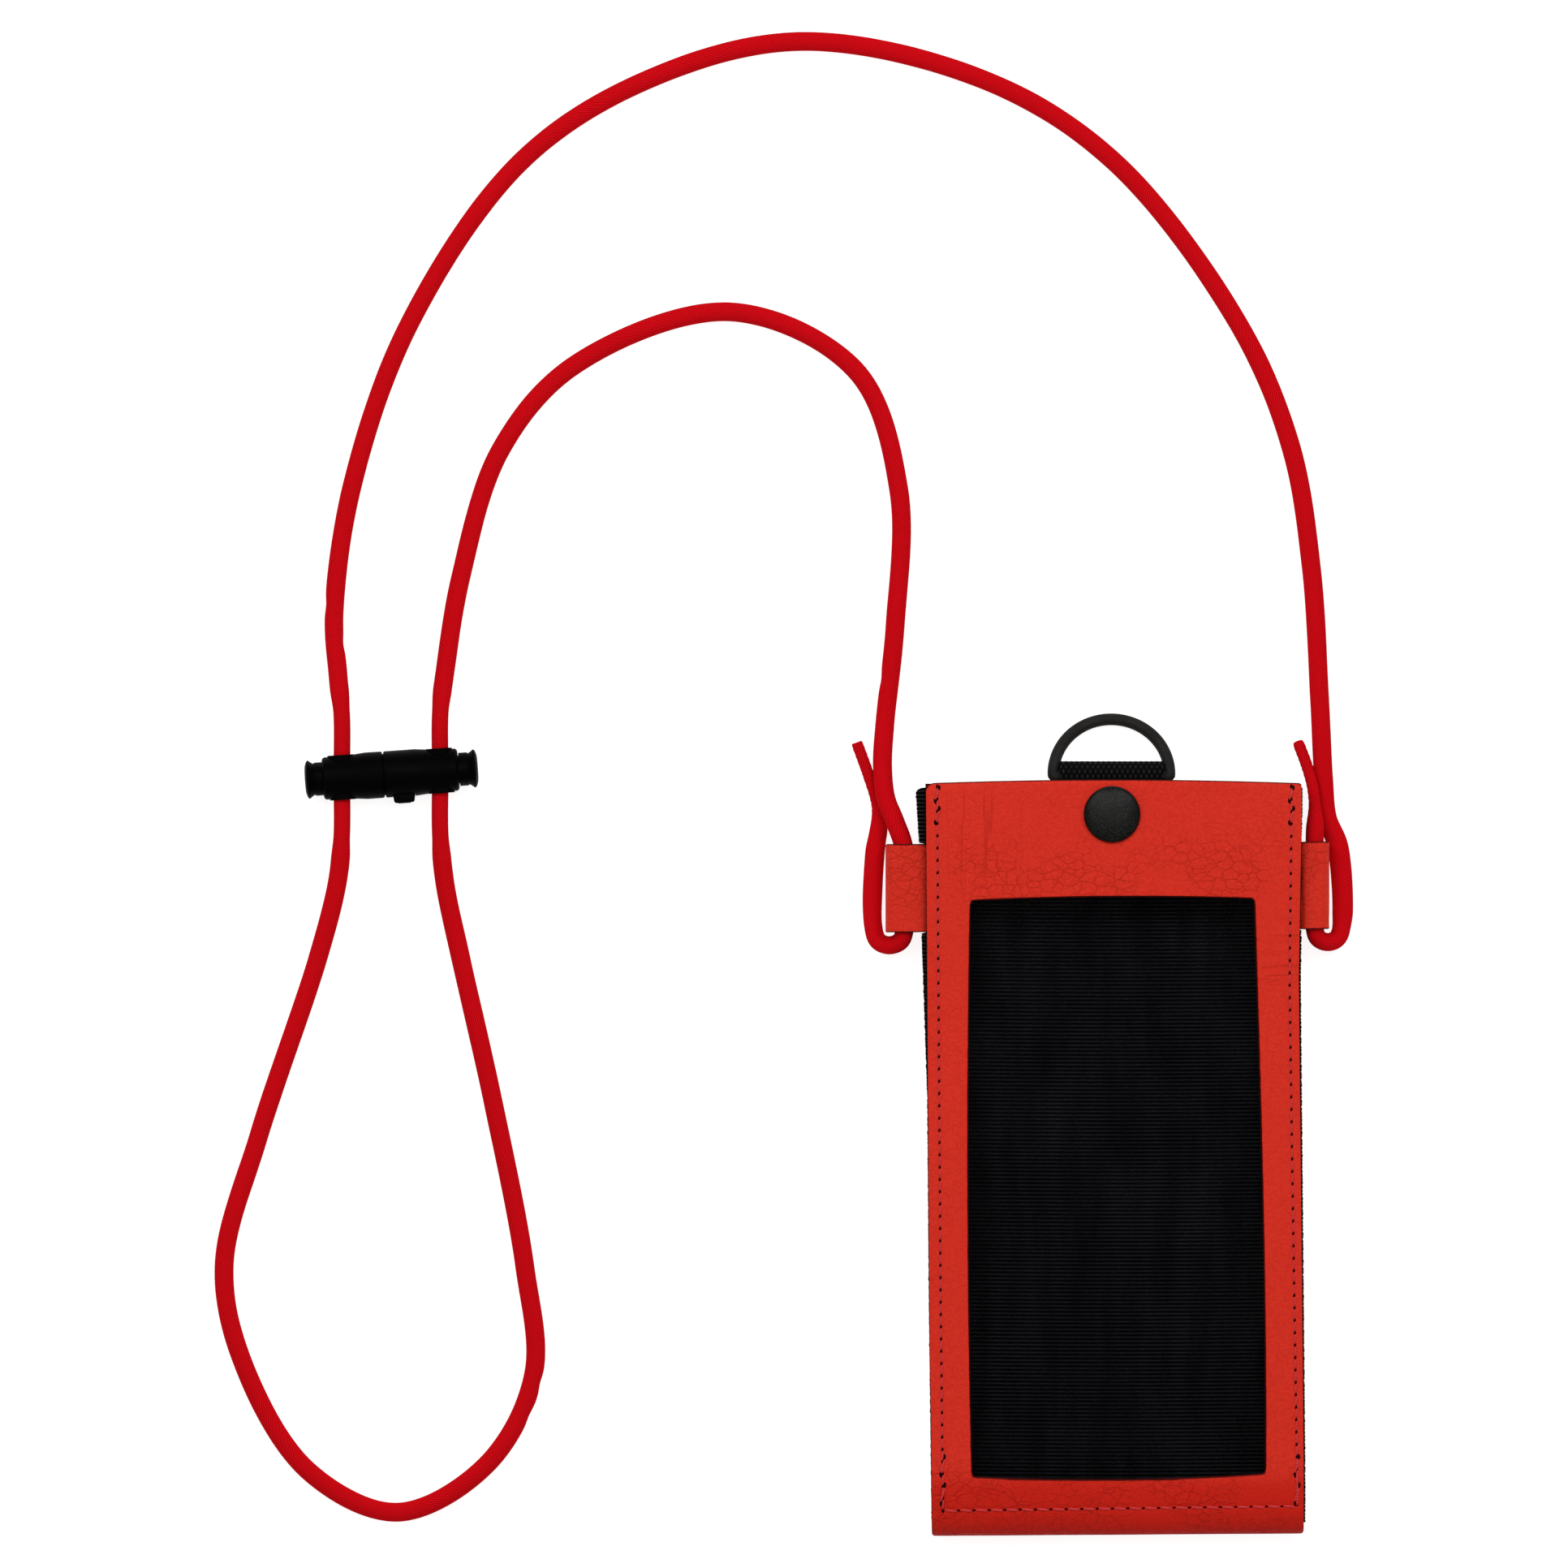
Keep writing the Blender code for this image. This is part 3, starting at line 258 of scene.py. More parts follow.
class Value:
    """A number, place or colour that varies over a surface; arithmetic on it adds shader nodes."""

    def __init__(self, socket):
        self.socket, self.tree = socket, socket.id_data

    def math(self, operation, second=0.0, third=0.0):
        """One step of arithmetic."""
        return add_node(self.tree, "ShaderNodeMath", {0: self, 1: second, 2: third}, operation=operation)

    def __add__(self, other):
        return self.math("ADD", other)

    def __sub__(self, other):
        return self.math("SUBTRACT", other)

    def __mul__(self, other):
        return self.math("MULTIPLY", other)

    def scaled(self, factor, offset):
        """This number times a factor, plus an offset."""
        return self.math("MULTIPLY_ADD", factor, offset)

    def cosine(self):
        return self.math("COSINE")

    def or_more(self, *others):
        """The largest of this and other numbers."""
        most = self
        for other in others:
            most = most.math("MAXIMUM", other)
        return most

    def ramp(self, from_low, from_high, to_low=0.0, to_high=1.0):
        """A smooth change from one number to another as this one rises, held at both ends."""
        inputs = {0: self, 1: from_low, 2: from_high, 3: to_low, 4: to_high}
        return add_node(self.tree, "ShaderNodeMapRange", inputs, interpolation_type="SMOOTHSTEP")

    def mix(self, first, second):
        """The second colour over the first, as far as this number says; each is three numbers or a Value."""
        colors = [color if isinstance(color, Value) else (*color, 1.0) for color in (first, second)]
        inputs = {0: self, 6: colors[0], 7: colors[1]}
        return add_node(self.tree, "ShaderNodeMix", inputs, 2, data_type="RGBA")

    def bump(self, distance):
        """The surface's normal when this number is its height, in units of the distance."""
        inputs = {"Height": self, "Distance": distance, "Strength": 1.0}
        return add_node(self.tree, "ShaderNodeBump", inputs, "Normal")

    def axis(self, number):
        """One coordinate of a place."""
        return add_node(self.tree, "ShaderNodeSeparateXYZ", {0: self}, number)

    def vector(self, operation, second):
        """One step of arithmetic on a place."""
        key = "Scale" if operation == "SCALE" else 1
        return add_node(self.tree, "ShaderNodeVectorMath", {0: self, key: second}, operation=operation)

    def noise(self, scale, detail=2.0, roughness=0.5, output="Fac"):
        """Soft random values from 0 to 1 at a place."""
        inputs = {"Vector": self, "Scale": scale, "Detail": detail, "Roughness": roughness}
        return add_node(self.tree, "ShaderNodeTexNoise", inputs, output)

    def cells(self, scale, feature):
        """Distances within irregular cells at a place."""
        return add_node(self.tree, "ShaderNodeTexVoronoi", {"Vector": self, "Scale": scale}, "Distance",
                        feature=feature)

    def stripes(self, axis, pitch):
        """Smooth stripes from 0 to 1 across one axis of a place."""
        return self.axis(axis).scaled(2 * math.pi / pitch, 0.0).cosine().scaled(0.5, 0.5)

    def within(self, low, high, edge):
        """1 where a place is inside a box, falling to 0 about its outline."""
        sides = []
        for axis in (0, 1):
            value = self.axis(axis)
            rise = value.ramp(low[axis] - edge, low[axis] + edge)
            sides.append(rise * value.ramp(high[axis] - edge, high[axis] + edge, 1.0, 0.0))
        return sides[0] * sides[1]


class Finish:
    """A material in the making, with constant numbers set on its Principled shader."""

    def __init__(self, name, **sockets):
        self.material = bpy.data.materials.new(name)
        self.material.use_nodes = True
        self.tree = self.material.node_tree
        self.shader = self.tree.nodes["Principled BSDF"]
        for key, value in sockets.items():
            self.shader.inputs[key.replace("_", " ")].default_value = value

    def solid_place(self):
        """Place in the object, in metres."""
        return add_node(self.tree, "ShaderNodeTexCoord", {}, "Object")

    def flat_place(self, stretch=(1.0, 1.0), wander=0.0, wander_scale=200.0):
        """Place on the flat cut, in metres, stretched and a little wandering."""
        place = add_node(self.tree, "ShaderNodeUVMap", {}, "UV", uv_map="flat")
        if wander:
            drift = place.noise(wander_scale, output="Color").vector("SUBTRACT", (0.5, 0.5, 0.5))
            place = place.vector("ADD", drift.vector("SCALE", wander))
        return place.vector("MULTIPLY", (*stretch, 1.0))

    def cracks(self, stretch, scale, width, wander=0.0022):
        """Thin lines between irregular scales, from 0 to 1."""
        return self.flat_place(stretch, wander).cells(scale, "DISTANCE_TO_EDGE").ramp(0.0, width, 1.0, 0.0)

    def wrinkles(self, stretch, scale):
        """Thin lines that run along the less stretched way, from 0 to 1."""
        away = (self.flat_place(stretch, 0.0010).noise(scale) - 0.5).math("ABSOLUTE")
        return away.ramp(0.0, 0.022, 1.0, 0.0)

    def done(self, **outputs):
        """Join Values to the shader's sockets, and give the material."""
        for key, value in outputs.items():
            self.tree.links.new(value.socket, self.shader.inputs[key.replace("_", " ")])
        return self.material


# ---------- materials

def make_leather():
    """Pebbled faux leather: fine grain, scaly creases, wrinkles at a corner and beside the window; painted
    shade in its creases, wrinkles and pits, under the window and at the fold, and painted highlights on its
    raised grain.
    """
    finish = Finish("pebbled_red_leather", Specular_IOR_Level=0.06)
    place = finish.flat_place(wander=0.0016)
    fine = finish.flat_place(wander=0.0004, wander_scale=900.0)
    over_window = place.within((-0.040, 0.064), (0.046, 0.080), 0.006)
    under_window = place.within((-0.050, -0.110), (0.050, -0.078), 0.004)
    patch = place.noise(55.0, 3.0).ramp(0.30, 0.58) * over_window.or_more(under_window).scaled(0.65, 0.35)
    crease = finish.cracks((0.80, 1.15), 350.0, 0.070, 0.0018) * patch
    small = finish.cracks((1.0, 1.1), 620.0, 0.10) * patch
    corner = finish.wrinkles((1.0, 0.04), 170.0) * place.within((-0.0420, 0.0700), (-0.0250, 0.0930), 0.004)
    side = finish.wrinkles((0.06, 1.0), 260.0) * place.within((0.0375, 0.0440), (0.0470, 0.0590), 0.002)
    lines = crease.or_more(corner, side)
    pebble = fine.cells(1350.0, "F1").ramp(0.15, 0.75, 1.0, 0.0)
    grain = fine.noise(2600.0, 4.0, 0.6)
    color = place.noise(26.0, 4.0).mix((0.580, 0.0225, 0.0105), (0.668, 0.0287, 0.0137))
    # Painted shade in the pits between the pebbles
    color = pebble.ramp(0.0, 0.5, 0.13, 0.0).mix(color, (0.330, 0.0060, 0.0022))
    # Painted highlight: lighter flecks where the fine grain is raised
    color = grain.ramp(0.52, 0.70, 0.0, 0.20).mix(color, (0.680, 0.0520, 0.0340))
    # Painted shade: darker under the window, and darker still at the fold
    painted_lower_shade = place.within((-0.060, -0.125), (0.060, -0.081), 0.003)
    color = (painted_lower_shade * 0.50).mix(color, LOWER_PAINTED_SHADE)
    color = place.within((-0.060, -0.125), (0.060, -0.097), 0.009).mix(color, FOLD_PAINTED_SHADE)
    # Painted shade in the creases and wrinkles: their lines darken the colour
    color = (lines * 0.27).mix(color, (0.220, 0.0020, 0.0008))
    color = (small * 0.15).mix(color, (0.250, 0.0025, 0.0010))
    height = small.scaled(-0.30, lines.scaled(-0.60, pebble.scaled(0.26, grain * 0.20)))
    return finish.done(Base_Color=color, Roughness=pebble.ramp(0.0, 1.0, 0.62, 0.47),
                       Normal=height.bump(0.00016))


def make_leather_back():
    """The woven fabric that backs the faux leather, seen on its inner face."""
    finish = Finish("leather_backing", Roughness=0.95, Specular_IOR_Level=0.08)
    place = finish.flat_place()
    knit = place.stripes(0, 0.0006) * place.stripes(1, 0.0007)
    return finish.done(Base_Color=knit.mix((0.060, 0.0040, 0.0040), (0.130, 0.0090, 0.0080)),
                       Normal=knit.bump(0.00010))


def make_leather_rim():
    """The cut edge of the leather: a slightly fibrous core, painted dark with the shade that falls on the
    edge.
    """
    finish = Finish("leather_cut_edge_painted_shade", Roughness=0.85, Specular_IOR_Level=0.1)
    fibre = finish.solid_place().noise(1800.0, 3.0)
    return finish.done(Base_Color=fibre.mix((0.022, 0.0015, 0.0012), (0.105, 0.0035, 0.0026)),
                       Normal=fibre.bump(0.00008))


def make_thread():
    """Twisted sewing thread, a pinker red than the leather, with painted shade in the grooves between its
    plies; its flat place is (turns round it, length).
    """
    finish = Finish("maroon_thread", Roughness=0.6, Specular_IOR_Level=0.15)
    place = add_node(finish.tree, "ShaderNodeUVMap", {}, "UV", uv_map="flat")
    twist = place.axis(1).scaled(2 * math.pi / 0.0007, place.axis(0) * (4 * math.pi))
    ply = twist.cosine().scaled(0.5, 0.5)
    # Painted light and shade: darker in the grooves between the plies, lighter on their tops
    return finish.done(Base_Color=ply.mix((0.400, 0.0130, 0.0140), (0.740, 0.0540, 0.0580)),
                       Normal=ply.bump(0.00006))


def make_needle_hole():
    """Painted shade: near-black colour for the inside of a needle hole."""
    finish = Finish("needle_hole_painted_shade", Roughness=0.95, Specular_IOR_Level=0.02)
    depth = finish.solid_place().noise(1500.0)
    return finish.done(Base_Color=depth.mix((0.004, 0.0006, 0.0006), (0.035, 0.0020, 0.0020)))


def make_elastic(name, painted_crest_light):
    """Ribbed woven elastic with painted light: lighter rib tops and darker furrows in its colour, and fine
    yarns over each rib.
    """
    finish = Finish(name, Roughness=0.85, Specular_IOR_Level=0.010)
    rib = finish.flat_place().stripes(1, RIB_PITCH)
    yarn = finish.flat_place(wander=0.00012, wander_scale=1500.0).stripes(0, 0.00042)
    crest_unevenness = finish.flat_place((1.0, 0.15)).noise(160.0, 4.0).ramp(0.3, 0.7, 0.50, 1.0)
    # Painted light and shade: rib tops lighter, furrows darker, a little uneven along the ribs
    color = (rib.math("POWER", 2.0) * crest_unevenness).mix((0.0002, 0.0003, 0.0004), painted_crest_light)
    color = (yarn * 0.30).mix(color, (0.0008, 0.0009, 0.0011))
    return finish.done(Base_Color=color, Normal=(yarn * rib).bump(0.00008))


def make_webbing():
    """Woven black webbing, painted lighter on its yarns where weave_bumps() raises them and darker between:
    painted light and shade.
    """
    finish = Finish("black_webbing", Roughness=0.8, Specular_IOR_Level=0.05)
    place = finish.flat_place(wander=0.00010, wander_scale=1400.0)
    exact = finish.flat_place()
    across = (exact.axis(0) * (2 * math.pi / WEAVE_WIDE)).cosine()
    along = (exact.axis(1) * (math.pi / WEAVE_LONG)).cosine()
    # Painted light on the raised yarns, painted shade between them
    painted_yarn_light = (across * along).ramp(0.0, 0.7) * place.noise(420.0, 3.0).ramp(0.3, 0.7, 0.5, 1.0)
    return finish.done(Base_Color=painted_yarn_light.mix((0.0006, 0.0006, 0.0007), (0.0170, 0.0165, 0.0165)),
                       Normal=place.stripes(1, 0.00030).bump(0.00002))


def make_film():
    """Clear soft film, with a faint haze."""
    finish = Finish("clear_film", Roughness=0.22, Specular_IOR_Level=0.30, IOR=1.5)
    haze = finish.flat_place().noise(60.0, 5.0)
    return finish.done(Base_Color=haze.mix((0.010, 0.012, 0.015), (0.018, 0.020, 0.024)),
                       Alpha=haze.ramp(0.3, 0.8, 0.003, 0.016), Normal=haze.bump(0.0004))


def make_enamel():
    """Black speckled enamel of the snap's cap."""
    finish = Finish("speckled_enamel", Roughness=0.34, Specular_IOR_Level=0.12)
    place = finish.solid_place()
    speck, rubbed = place.noise(3600.0, 1.0), place.noise(190.0, 3.0)
    bright = speck.ramp(0.46, 0.64) * rubbed.ramp(0.35, 0.65, 0.5, 1.0)
    return finish.done(Base_Color=bright.mix((0.0003, 0.0003, 0.0003), (0.0170, 0.0174, 0.0145)),
                       Roughness=rubbed.ramp(0.2, 0.8, 0.37, 0.30), Normal=speck.bump(0.00004))


def make_ring_metal():
    """Flat charcoal coating of the D-ring, rubbed here and there."""
    finish = Finish("charcoal_coating", Roughness=0.66, Specular_IOR_Level=0.08)
    place = finish.solid_place()
    rubbed = place.noise(240.0, 4.0)
    return finish.done(Base_Color=rubbed.mix((0.0085, 0.0078, 0.0072), (0.0190, 0.0176, 0.0168)),
                       Roughness=rubbed.ramp(0.3, 0.7, 0.68, 0.52), Normal=place.noise(1400.0).bump(0.00002))


def make_steel():
    """Bare steel with turning marks."""
    finish = Finish("turned_steel", Roughness=0.32, Metallic=1.0)
    marks = finish.solid_place().vector("MULTIPLY", (600.0, 600.0, 9000.0)).noise(1.0, 3.0)
    return finish.done(Base_Color=marks.mix((0.42, 0.42, 0.43), (0.62, 0.62, 0.63)),
                       Roughness=marks.ramp(0.2, 0.8, 0.25, 0.42), Normal=marks.bump(0.00002))


def make_plastic():
    """Moulded black plastic with a fine spark-eroded texture."""
    finish = Finish("moulded_black_plastic", Roughness=0.5, Specular_IOR_Level=0.02)
    place = finish.solid_place()
    flow = place.noise(140.0, 3.0)
    return finish.done(Base_Color=flow.mix((0.0003, 0.0003, 0.0003), (0.0007, 0.0007, 0.0007)),
                       Roughness=flow.ramp(0.3, 0.7, 0.55, 0.42), Normal=place.noise(3200.0).bump(0.00003))


def make_cord_fabric():
    """Woven cord: fine slanted yarns whose slant turns over from one band of the weave to the next, with
    painted shade between the yarns and painted highlights on them.
    """
    finish = Finish("woven_red_cord", Roughness=0.85, Specular_IOR_Level=0.01)
    place = add_node(finish.tree, "ShaderNodeUVMap", {}, "UV", uv_map="flat")
    around = place.axis(0).scaled(2 * math.pi / CORD_YARN_ACROSS, place.noise(300.0) * 1.2)
    along = place.axis(1) * (2 * math.pi / CORD_YARN_ALONG)
    side = (place.axis(0) * (2 * math.pi / CORD_BAND)).cosine().ramp(-0.35, 0.35)
    slants = {0: side, 2: (along + around).cosine(), 3: (along - around).cosine()}
    yarn = add_node(finish.tree, "ShaderNodeMix", slants, data_type="FLOAT").scaled(0.5, 0.5)
    color = place.noise(55.0, 3.0).mix((0.545, 0.0011, 0.0042), (0.620, 0.0017, 0.0060))
    # Painted shade between the yarns, then painted highlights on their crests
    color = yarn.ramp(0.0, 0.60, 0.50, 0.0).mix(color, (0.300, 0.0005, 0.0020))
    color = yarn.ramp(0.72, 1.0, 0.0, 0.38).mix(color, (0.820, 0.0200, 0.0300))
    return finish.done(Base_Color=color, Normal=yarn.bump(0.00010))


def make_floor_material():
    """Plain white paper."""
    finish = Finish("white_paper", Roughness=0.9, Specular_IOR_Level=0.0, Emission_Color=(1.0, 1.0, 1.0, 1.0),
                    Emission_Strength=FLOOR_GLOW)
    fibre = finish.solid_place().noise(300.0)
    return finish.done(Base_Color=fibre.mix((FLOOR_GREY,) * 3, (FLOOR_GREY * 1.05,) * 3))


# ---------- mesh tools

def build_mesh(name, vertices, faces, places, materials, face_slots=None):
    """An object from arrays: points, faces, each point's or each face corner's flat place, and materials."""
    mesh = bpy.data.meshes.new(name)
    mesh.from_pydata(np.asarray(vertices).tolist(), [], [tuple(f) for f in faces])
    layer = mesh.uv_layers.new(name="flat")
    places = np.asarray(places, dtype=np.float32)
    if len(places) == len(mesh.vertices):
        corners = np.empty(len(mesh.loops), dtype=np.int32)
        mesh.loops.foreach_get("vertex_index", corners)
        places = places[corners]
    layer.data.foreach_set("uv", places.ravel())
    for material in materials:
        mesh.materials.append(material)
    if face_slots is not None:
        mesh.polygons.foreach_set("material_index", np.asarray(face_slots, dtype=np.int32))
    face_outwards(mesh)
    mesh.shade_smooth()
    return add_object(name, mesh)


def add_object(name, data):
    """An object with this mesh, light or camera, in the scene."""
    obj = bpy.data.objects.new(name, data)
    bpy.context.scene.collection.objects.link(obj)
    return obj


def face_outwards(mesh):
    """Turn every face of a closed mesh outwards."""
    bm = bmesh.new()
    bm.from_mesh(mesh)
    bmesh.ops.recalc_face_normals(bm, faces=bm.faces)
    bm.to_mesh(mesh)
    bm.free()


def unit(vectors):
    """The vectors scaled to length 1."""
    return vectors / np.maximum(np.linalg.norm(vectors, axis=-1, keepdims=True), 1e-12)


def stacked(*coordinates):
    """Arrays of coordinates, spread to one shape, as one array of places."""
    return np.stack(np.broadcast_arrays(*coordinates), axis=-1)


def widened(column, count):
    """A number for each row of a grid, repeated over the grid's columns."""
    return np.repeat(column[:, None], count, axis=1)


def distances(points):
    """How far along its line each point lies."""
    return np.concatenate([[0.0], np.cumsum(np.linalg.norm(np.diff(points, axis=0), axis=1))])


def rim_outwards(points, quads):
    """The outline of a grid of quads: its edges, and at each of its points the way out of the sheet."""
    edges = np.concatenate([quads[:, [k, (k + 1) % 4]] for k in range(4)])
    owners = np.tile(np.arange(len(quads)), 4)
    ordered = np.sort(edges, axis=1)
    first, counts = np.unique(ordered, axis=0, return_index=True, return_counts=True)[1:]
    chosen = first[counts == 1]
    edges, owners = edges[chosen], owners[chosen]
    along = unit(points[edges[:, 1]] - points[edges[:, 0]])
    inward = points[quads[owners]].mean(axis=1) - points[edges].mean(axis=1)
    outward = unit(-(inward - along * (inward * along).sum(axis=1, keepdims=True)))
    ways = np.zeros_like(points)
    for k in (0, 1):
        np.add.at(ways, edges[:, k], outward)
    return edges, unit(ways)


def slab(name, top, under, flat, materials, bevel=0.0003, mask=None):
    """A closed sheet between two grids of points, with a rounded rim round its outline and its holes.

    materials are for the top, the underside and the rim; mask says which cells of the grid are there.
    """
    rows, cols = top.shape[:2]
    index = np.arange(rows * cols).reshape(rows, cols)
    quads = np.stack([index[:-1, :-1], index[:-1, 1:], index[1:, 1:], index[1:, :-1]], axis=-1)
    quads = quads.reshape(-1, 4) if mask is None else quads[mask]
    used, quads = np.unique(quads, return_inverse=True)
    quads = quads.reshape(-1, 4)
    top, under = top.reshape(-1, 3)[used].copy(), under.reshape(-1, 3)[used].copy()
    flat = np.asarray(flat).reshape(-1, 2)[used]
    edges, outward = rim_outwards(top, quads)
    rim = np.unique(edges)
    down = unit(under[rim] - top[rim])
    rings = [top[rim] + down * bevel, under[rim] - down * bevel]
    top[rim] -= outward[rim] * bevel
    under[rim] -= outward[rim] * bevel
    count = len(used)
    places = np.zeros(count, dtype=int)
    places[rim] = np.arange(len(rim))
    levels = [edges, places[edges] + 2 * count, places[edges] + 2 * count + len(rim), edges + count]
    walls = [np.stack([a[:, 0], a[:, 1], b[:, 1], b[:, 0]], axis=1) for a, b in zip(levels, levels[1:])]
    faces = np.concatenate([quads, quads[:, ::-1] + count] + walls)
    slots = np.repeat([0, 1, 2], [len(quads), len(quads), 3 * len(edges)])
    vertices = np.concatenate([top, under] + rings)
    flat = np.concatenate([flat, flat, flat[rim], flat[rim]])
    return build_mesh(name, vertices, faces, flat, materials, slots)


def ring_ways(points, up, sides, closed=False):
    """The directions from each point of a line to the sides of the round bar along it."""
    if closed:
        along = unit(np.roll(points, -1, axis=0) - np.roll(points, 1, axis=0))
    else:
        along = unit(np.gradient(points, axis=0))
    across = unit(np.cross(along, np.asarray(up, dtype=float)))
    above = np.cross(across, along)
    cosines, sines = circle(sides)
    return across[:, None] * cosines[None, :, None] + above[:, None] * sines[None, :, None]


def circle(sides):
    """The cosines and sines of evenly spaced directions all round."""
    angles = 2 * math.pi * np.arange(sides) / sides
    return np.cos(angles), np.sin(angles)


def tube(name, points, radii, up, sides, material, closed=False):
    """A round bar along the points; radii is one number, or one for each point and side."""
    points = np.asarray(points, dtype=float)
    radii = np.asarray(radii, dtype=float)
    if radii.ndim < 2:
        radii = np.broadcast_to(radii.reshape(-1, 1), (len(points), sides))
    vertices = (points[:, None] + ring_ways(points, up, sides, closed) * radii[:, :, None]).reshape(-1, 3)
    count = len(points) if closed else len(points) - 1
    row, col = [a.ravel() for a in np.meshgrid(np.arange(count), np.arange(sides), indexing="ij")]
    after = (row + 1) % len(points)
    near, far = row * sides, after * sides
    beside = (col + 1) % sides
    faces = np.stack([near + col, near + beside, far + beside, far + col], 1).tolist()
    run = distances(points)
    u = np.stack([col, col + 1, col + 1, col], axis=1) * (2 * math.pi * float(radii.mean())) / sides
    step = run[-1] / max(len(points) - 1, 1)
    ahead = np.where(row + 1 < len(points), run[after], run[row] + step)
    corners = stacked(u, np.stack([run[row], run[row], ahead, ahead], axis=1)).reshape(-1, 2)
    if not closed:
        for base in (0, (len(points) - 1) * sides):
            faces.append(list(range(base, base + sides)))
            corners = np.concatenate([corners, 0.001 * stacked(*circle(sides))])
    return build_mesh(name, vertices, faces, corners, [material])


def turned(name, profile, material, axis="X", center=(0.0, 0.0, 0.0), segments=72):
    """A solid turned about X or Z, from (place along, radius) points that start and end on that axis."""
    vertices, rings = [], []
    for along, radius in profile:
        count = 1 if radius == 0.0 else segments
        rings.append(list(range(len(vertices), len(vertices) + count)))
        for k in range(count):
            angle = 2 * math.pi * k / segments
            u, v = radius * math.cos(angle), radius * math.sin(angle)
            vertices.append(tuple(Vector((along, u, v) if axis == "X" else (u, v, along)) + Vector(center)))
    faces = []
    for near, far in zip(rings, rings[1:]):
        for k in range(segments):
            corners = [(near, k), (near, k + 1), (far, k + 1), (far, k)]
            faces.append(list(dict.fromkeys(ring[place % len(ring)] for ring, place in corners)))
    return build_mesh(name, vertices, faces, [v[:2] for v in vertices], [material])


def bend(start, middle, end, t):
    """The point at a share t of the curve from start to end that turns at the middle."""
    return start * (1 - t) ** 2 + middle * 2 * t * (1 - t) + end * t * t


def rounded_profile(points, radius, steps=3):
    """A (along, radius) profile with its inner corners turned on small arcs."""
    made = [points[0]]
    for before, corner, after in zip(points, points[1:], points[2:]):
        middle = Vector(corner)
        ways = [Vector(p) - middle for p in (before, after)]
        reach = min([radius] + [w.length * 0.45 for w in ways])
        start, end = [middle + w.normalized() * reach for w in ways]
        if min(start.y, end.y) < 1e-7 or reach < 1e-6:
            made.append(corner)
        else:
            made += [tuple(bend(start, middle, end, k / steps)) for k in range(steps + 1)]
    return made + [points[-1]]


def apply_modifiers(obj):
    """Replace the object's mesh by what its modifiers make of it."""
    graph = bpy.context.evaluated_depsgraph_get()
    mesh = bpy.data.meshes.new_from_object(obj.evaluated_get(graph))
    obj.modifiers.clear()
    obj.data = mesh


def carve(target, tool, operation="DIFFERENCE"):
    """Cut the tool's shape out of the target, or join it on, and drop the tool."""
    modifier = target.modifiers.new("carve", "BOOLEAN")
    modifier.operation, modifier.object, modifier.solver = operation, tool, "EXACT"
    apply_modifiers(target)
    bpy.data.objects.remove(tool)


def soften(obj, width, angle=30.0, segments=2):
    """Round the sharp edges, and shade what stays sharp as sharp."""
    modifier = obj.modifiers.new("soften", "BEVEL")
    modifier.width, modifier.segments, modifier.angle_limit = width, segments, math.radians(angle)
    apply_modifiers(obj)
    obj.data.shade_smooth()
    obj.data.set_sharp_from_angle(angle=math.radians(50))


def join(name, parts):
    """Several objects made into one."""
    bm = bmesh.new()
    for part in parts:
        bm.from_mesh(part.data)
    mesh = bpy.data.meshes.new(name)
    bm.to_mesh(mesh)
    bm.free()
    for material in parts[0].data.materials:
        mesh.materials.append(material)
    mesh.shade_smooth()
    for part in parts:
        bpy.data.objects.remove(part)
    return add_object(name, mesh)


def settle(obj, body, slot, *stood_for):
    """A finished piece rides on its body and stands for CAD nodes, which it hides; its slot is not used."""
    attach(obj, body)
    if stood_for:
        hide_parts(*stood_for)
    return obj


def smooth_step(value):
    """0 below 0, 1 above 1, and a smooth rise between."""
    value = np.clip(value, 0.0, 1.0)
    return value * value * (3 - 2 * value)


def read_table(table, value):
    """The number that a table of (place, number) pairs gives at a place."""
    places, numbers = zip(*table)
    return np.interp(value, places, numbers)


def bowed(table, value):
    """The same along one smooth curve through the pairs, held beyond its ends."""
    places, numbers = zip(*table)
    curve = np.polyfit(places, numbers, len(places) - 1)
    return np.polyval(curve, np.clip(value, places[0], places[-1]))


def waviness(x, y, scale, seed):
    """Smooth random heights from -1 to 1 for arrays of places."""
    shape = np.broadcast(x, y).shape
    flat_x, flat_y = np.broadcast_to(x, shape).ravel(), np.broadcast_to(y, shape).ravel()
    values = [noise.noise(Vector((a * scale, b * scale, seed))) for a, b in zip(flat_x, flat_y)]
    return np.array(values).reshape(shape)


def spaced(*stretches):
    """Places from 0 on, as (end, spacing) stretches one after the other."""
    places = [0.0]
    for end, spacing in stretches:
        start = places[-1]
        count = max(1, round((end - start) / spacing))
        places += [start + (end - start) * (k + 1) / count for k in range(count)]
    return np.array(places)


# ---------- neck cord

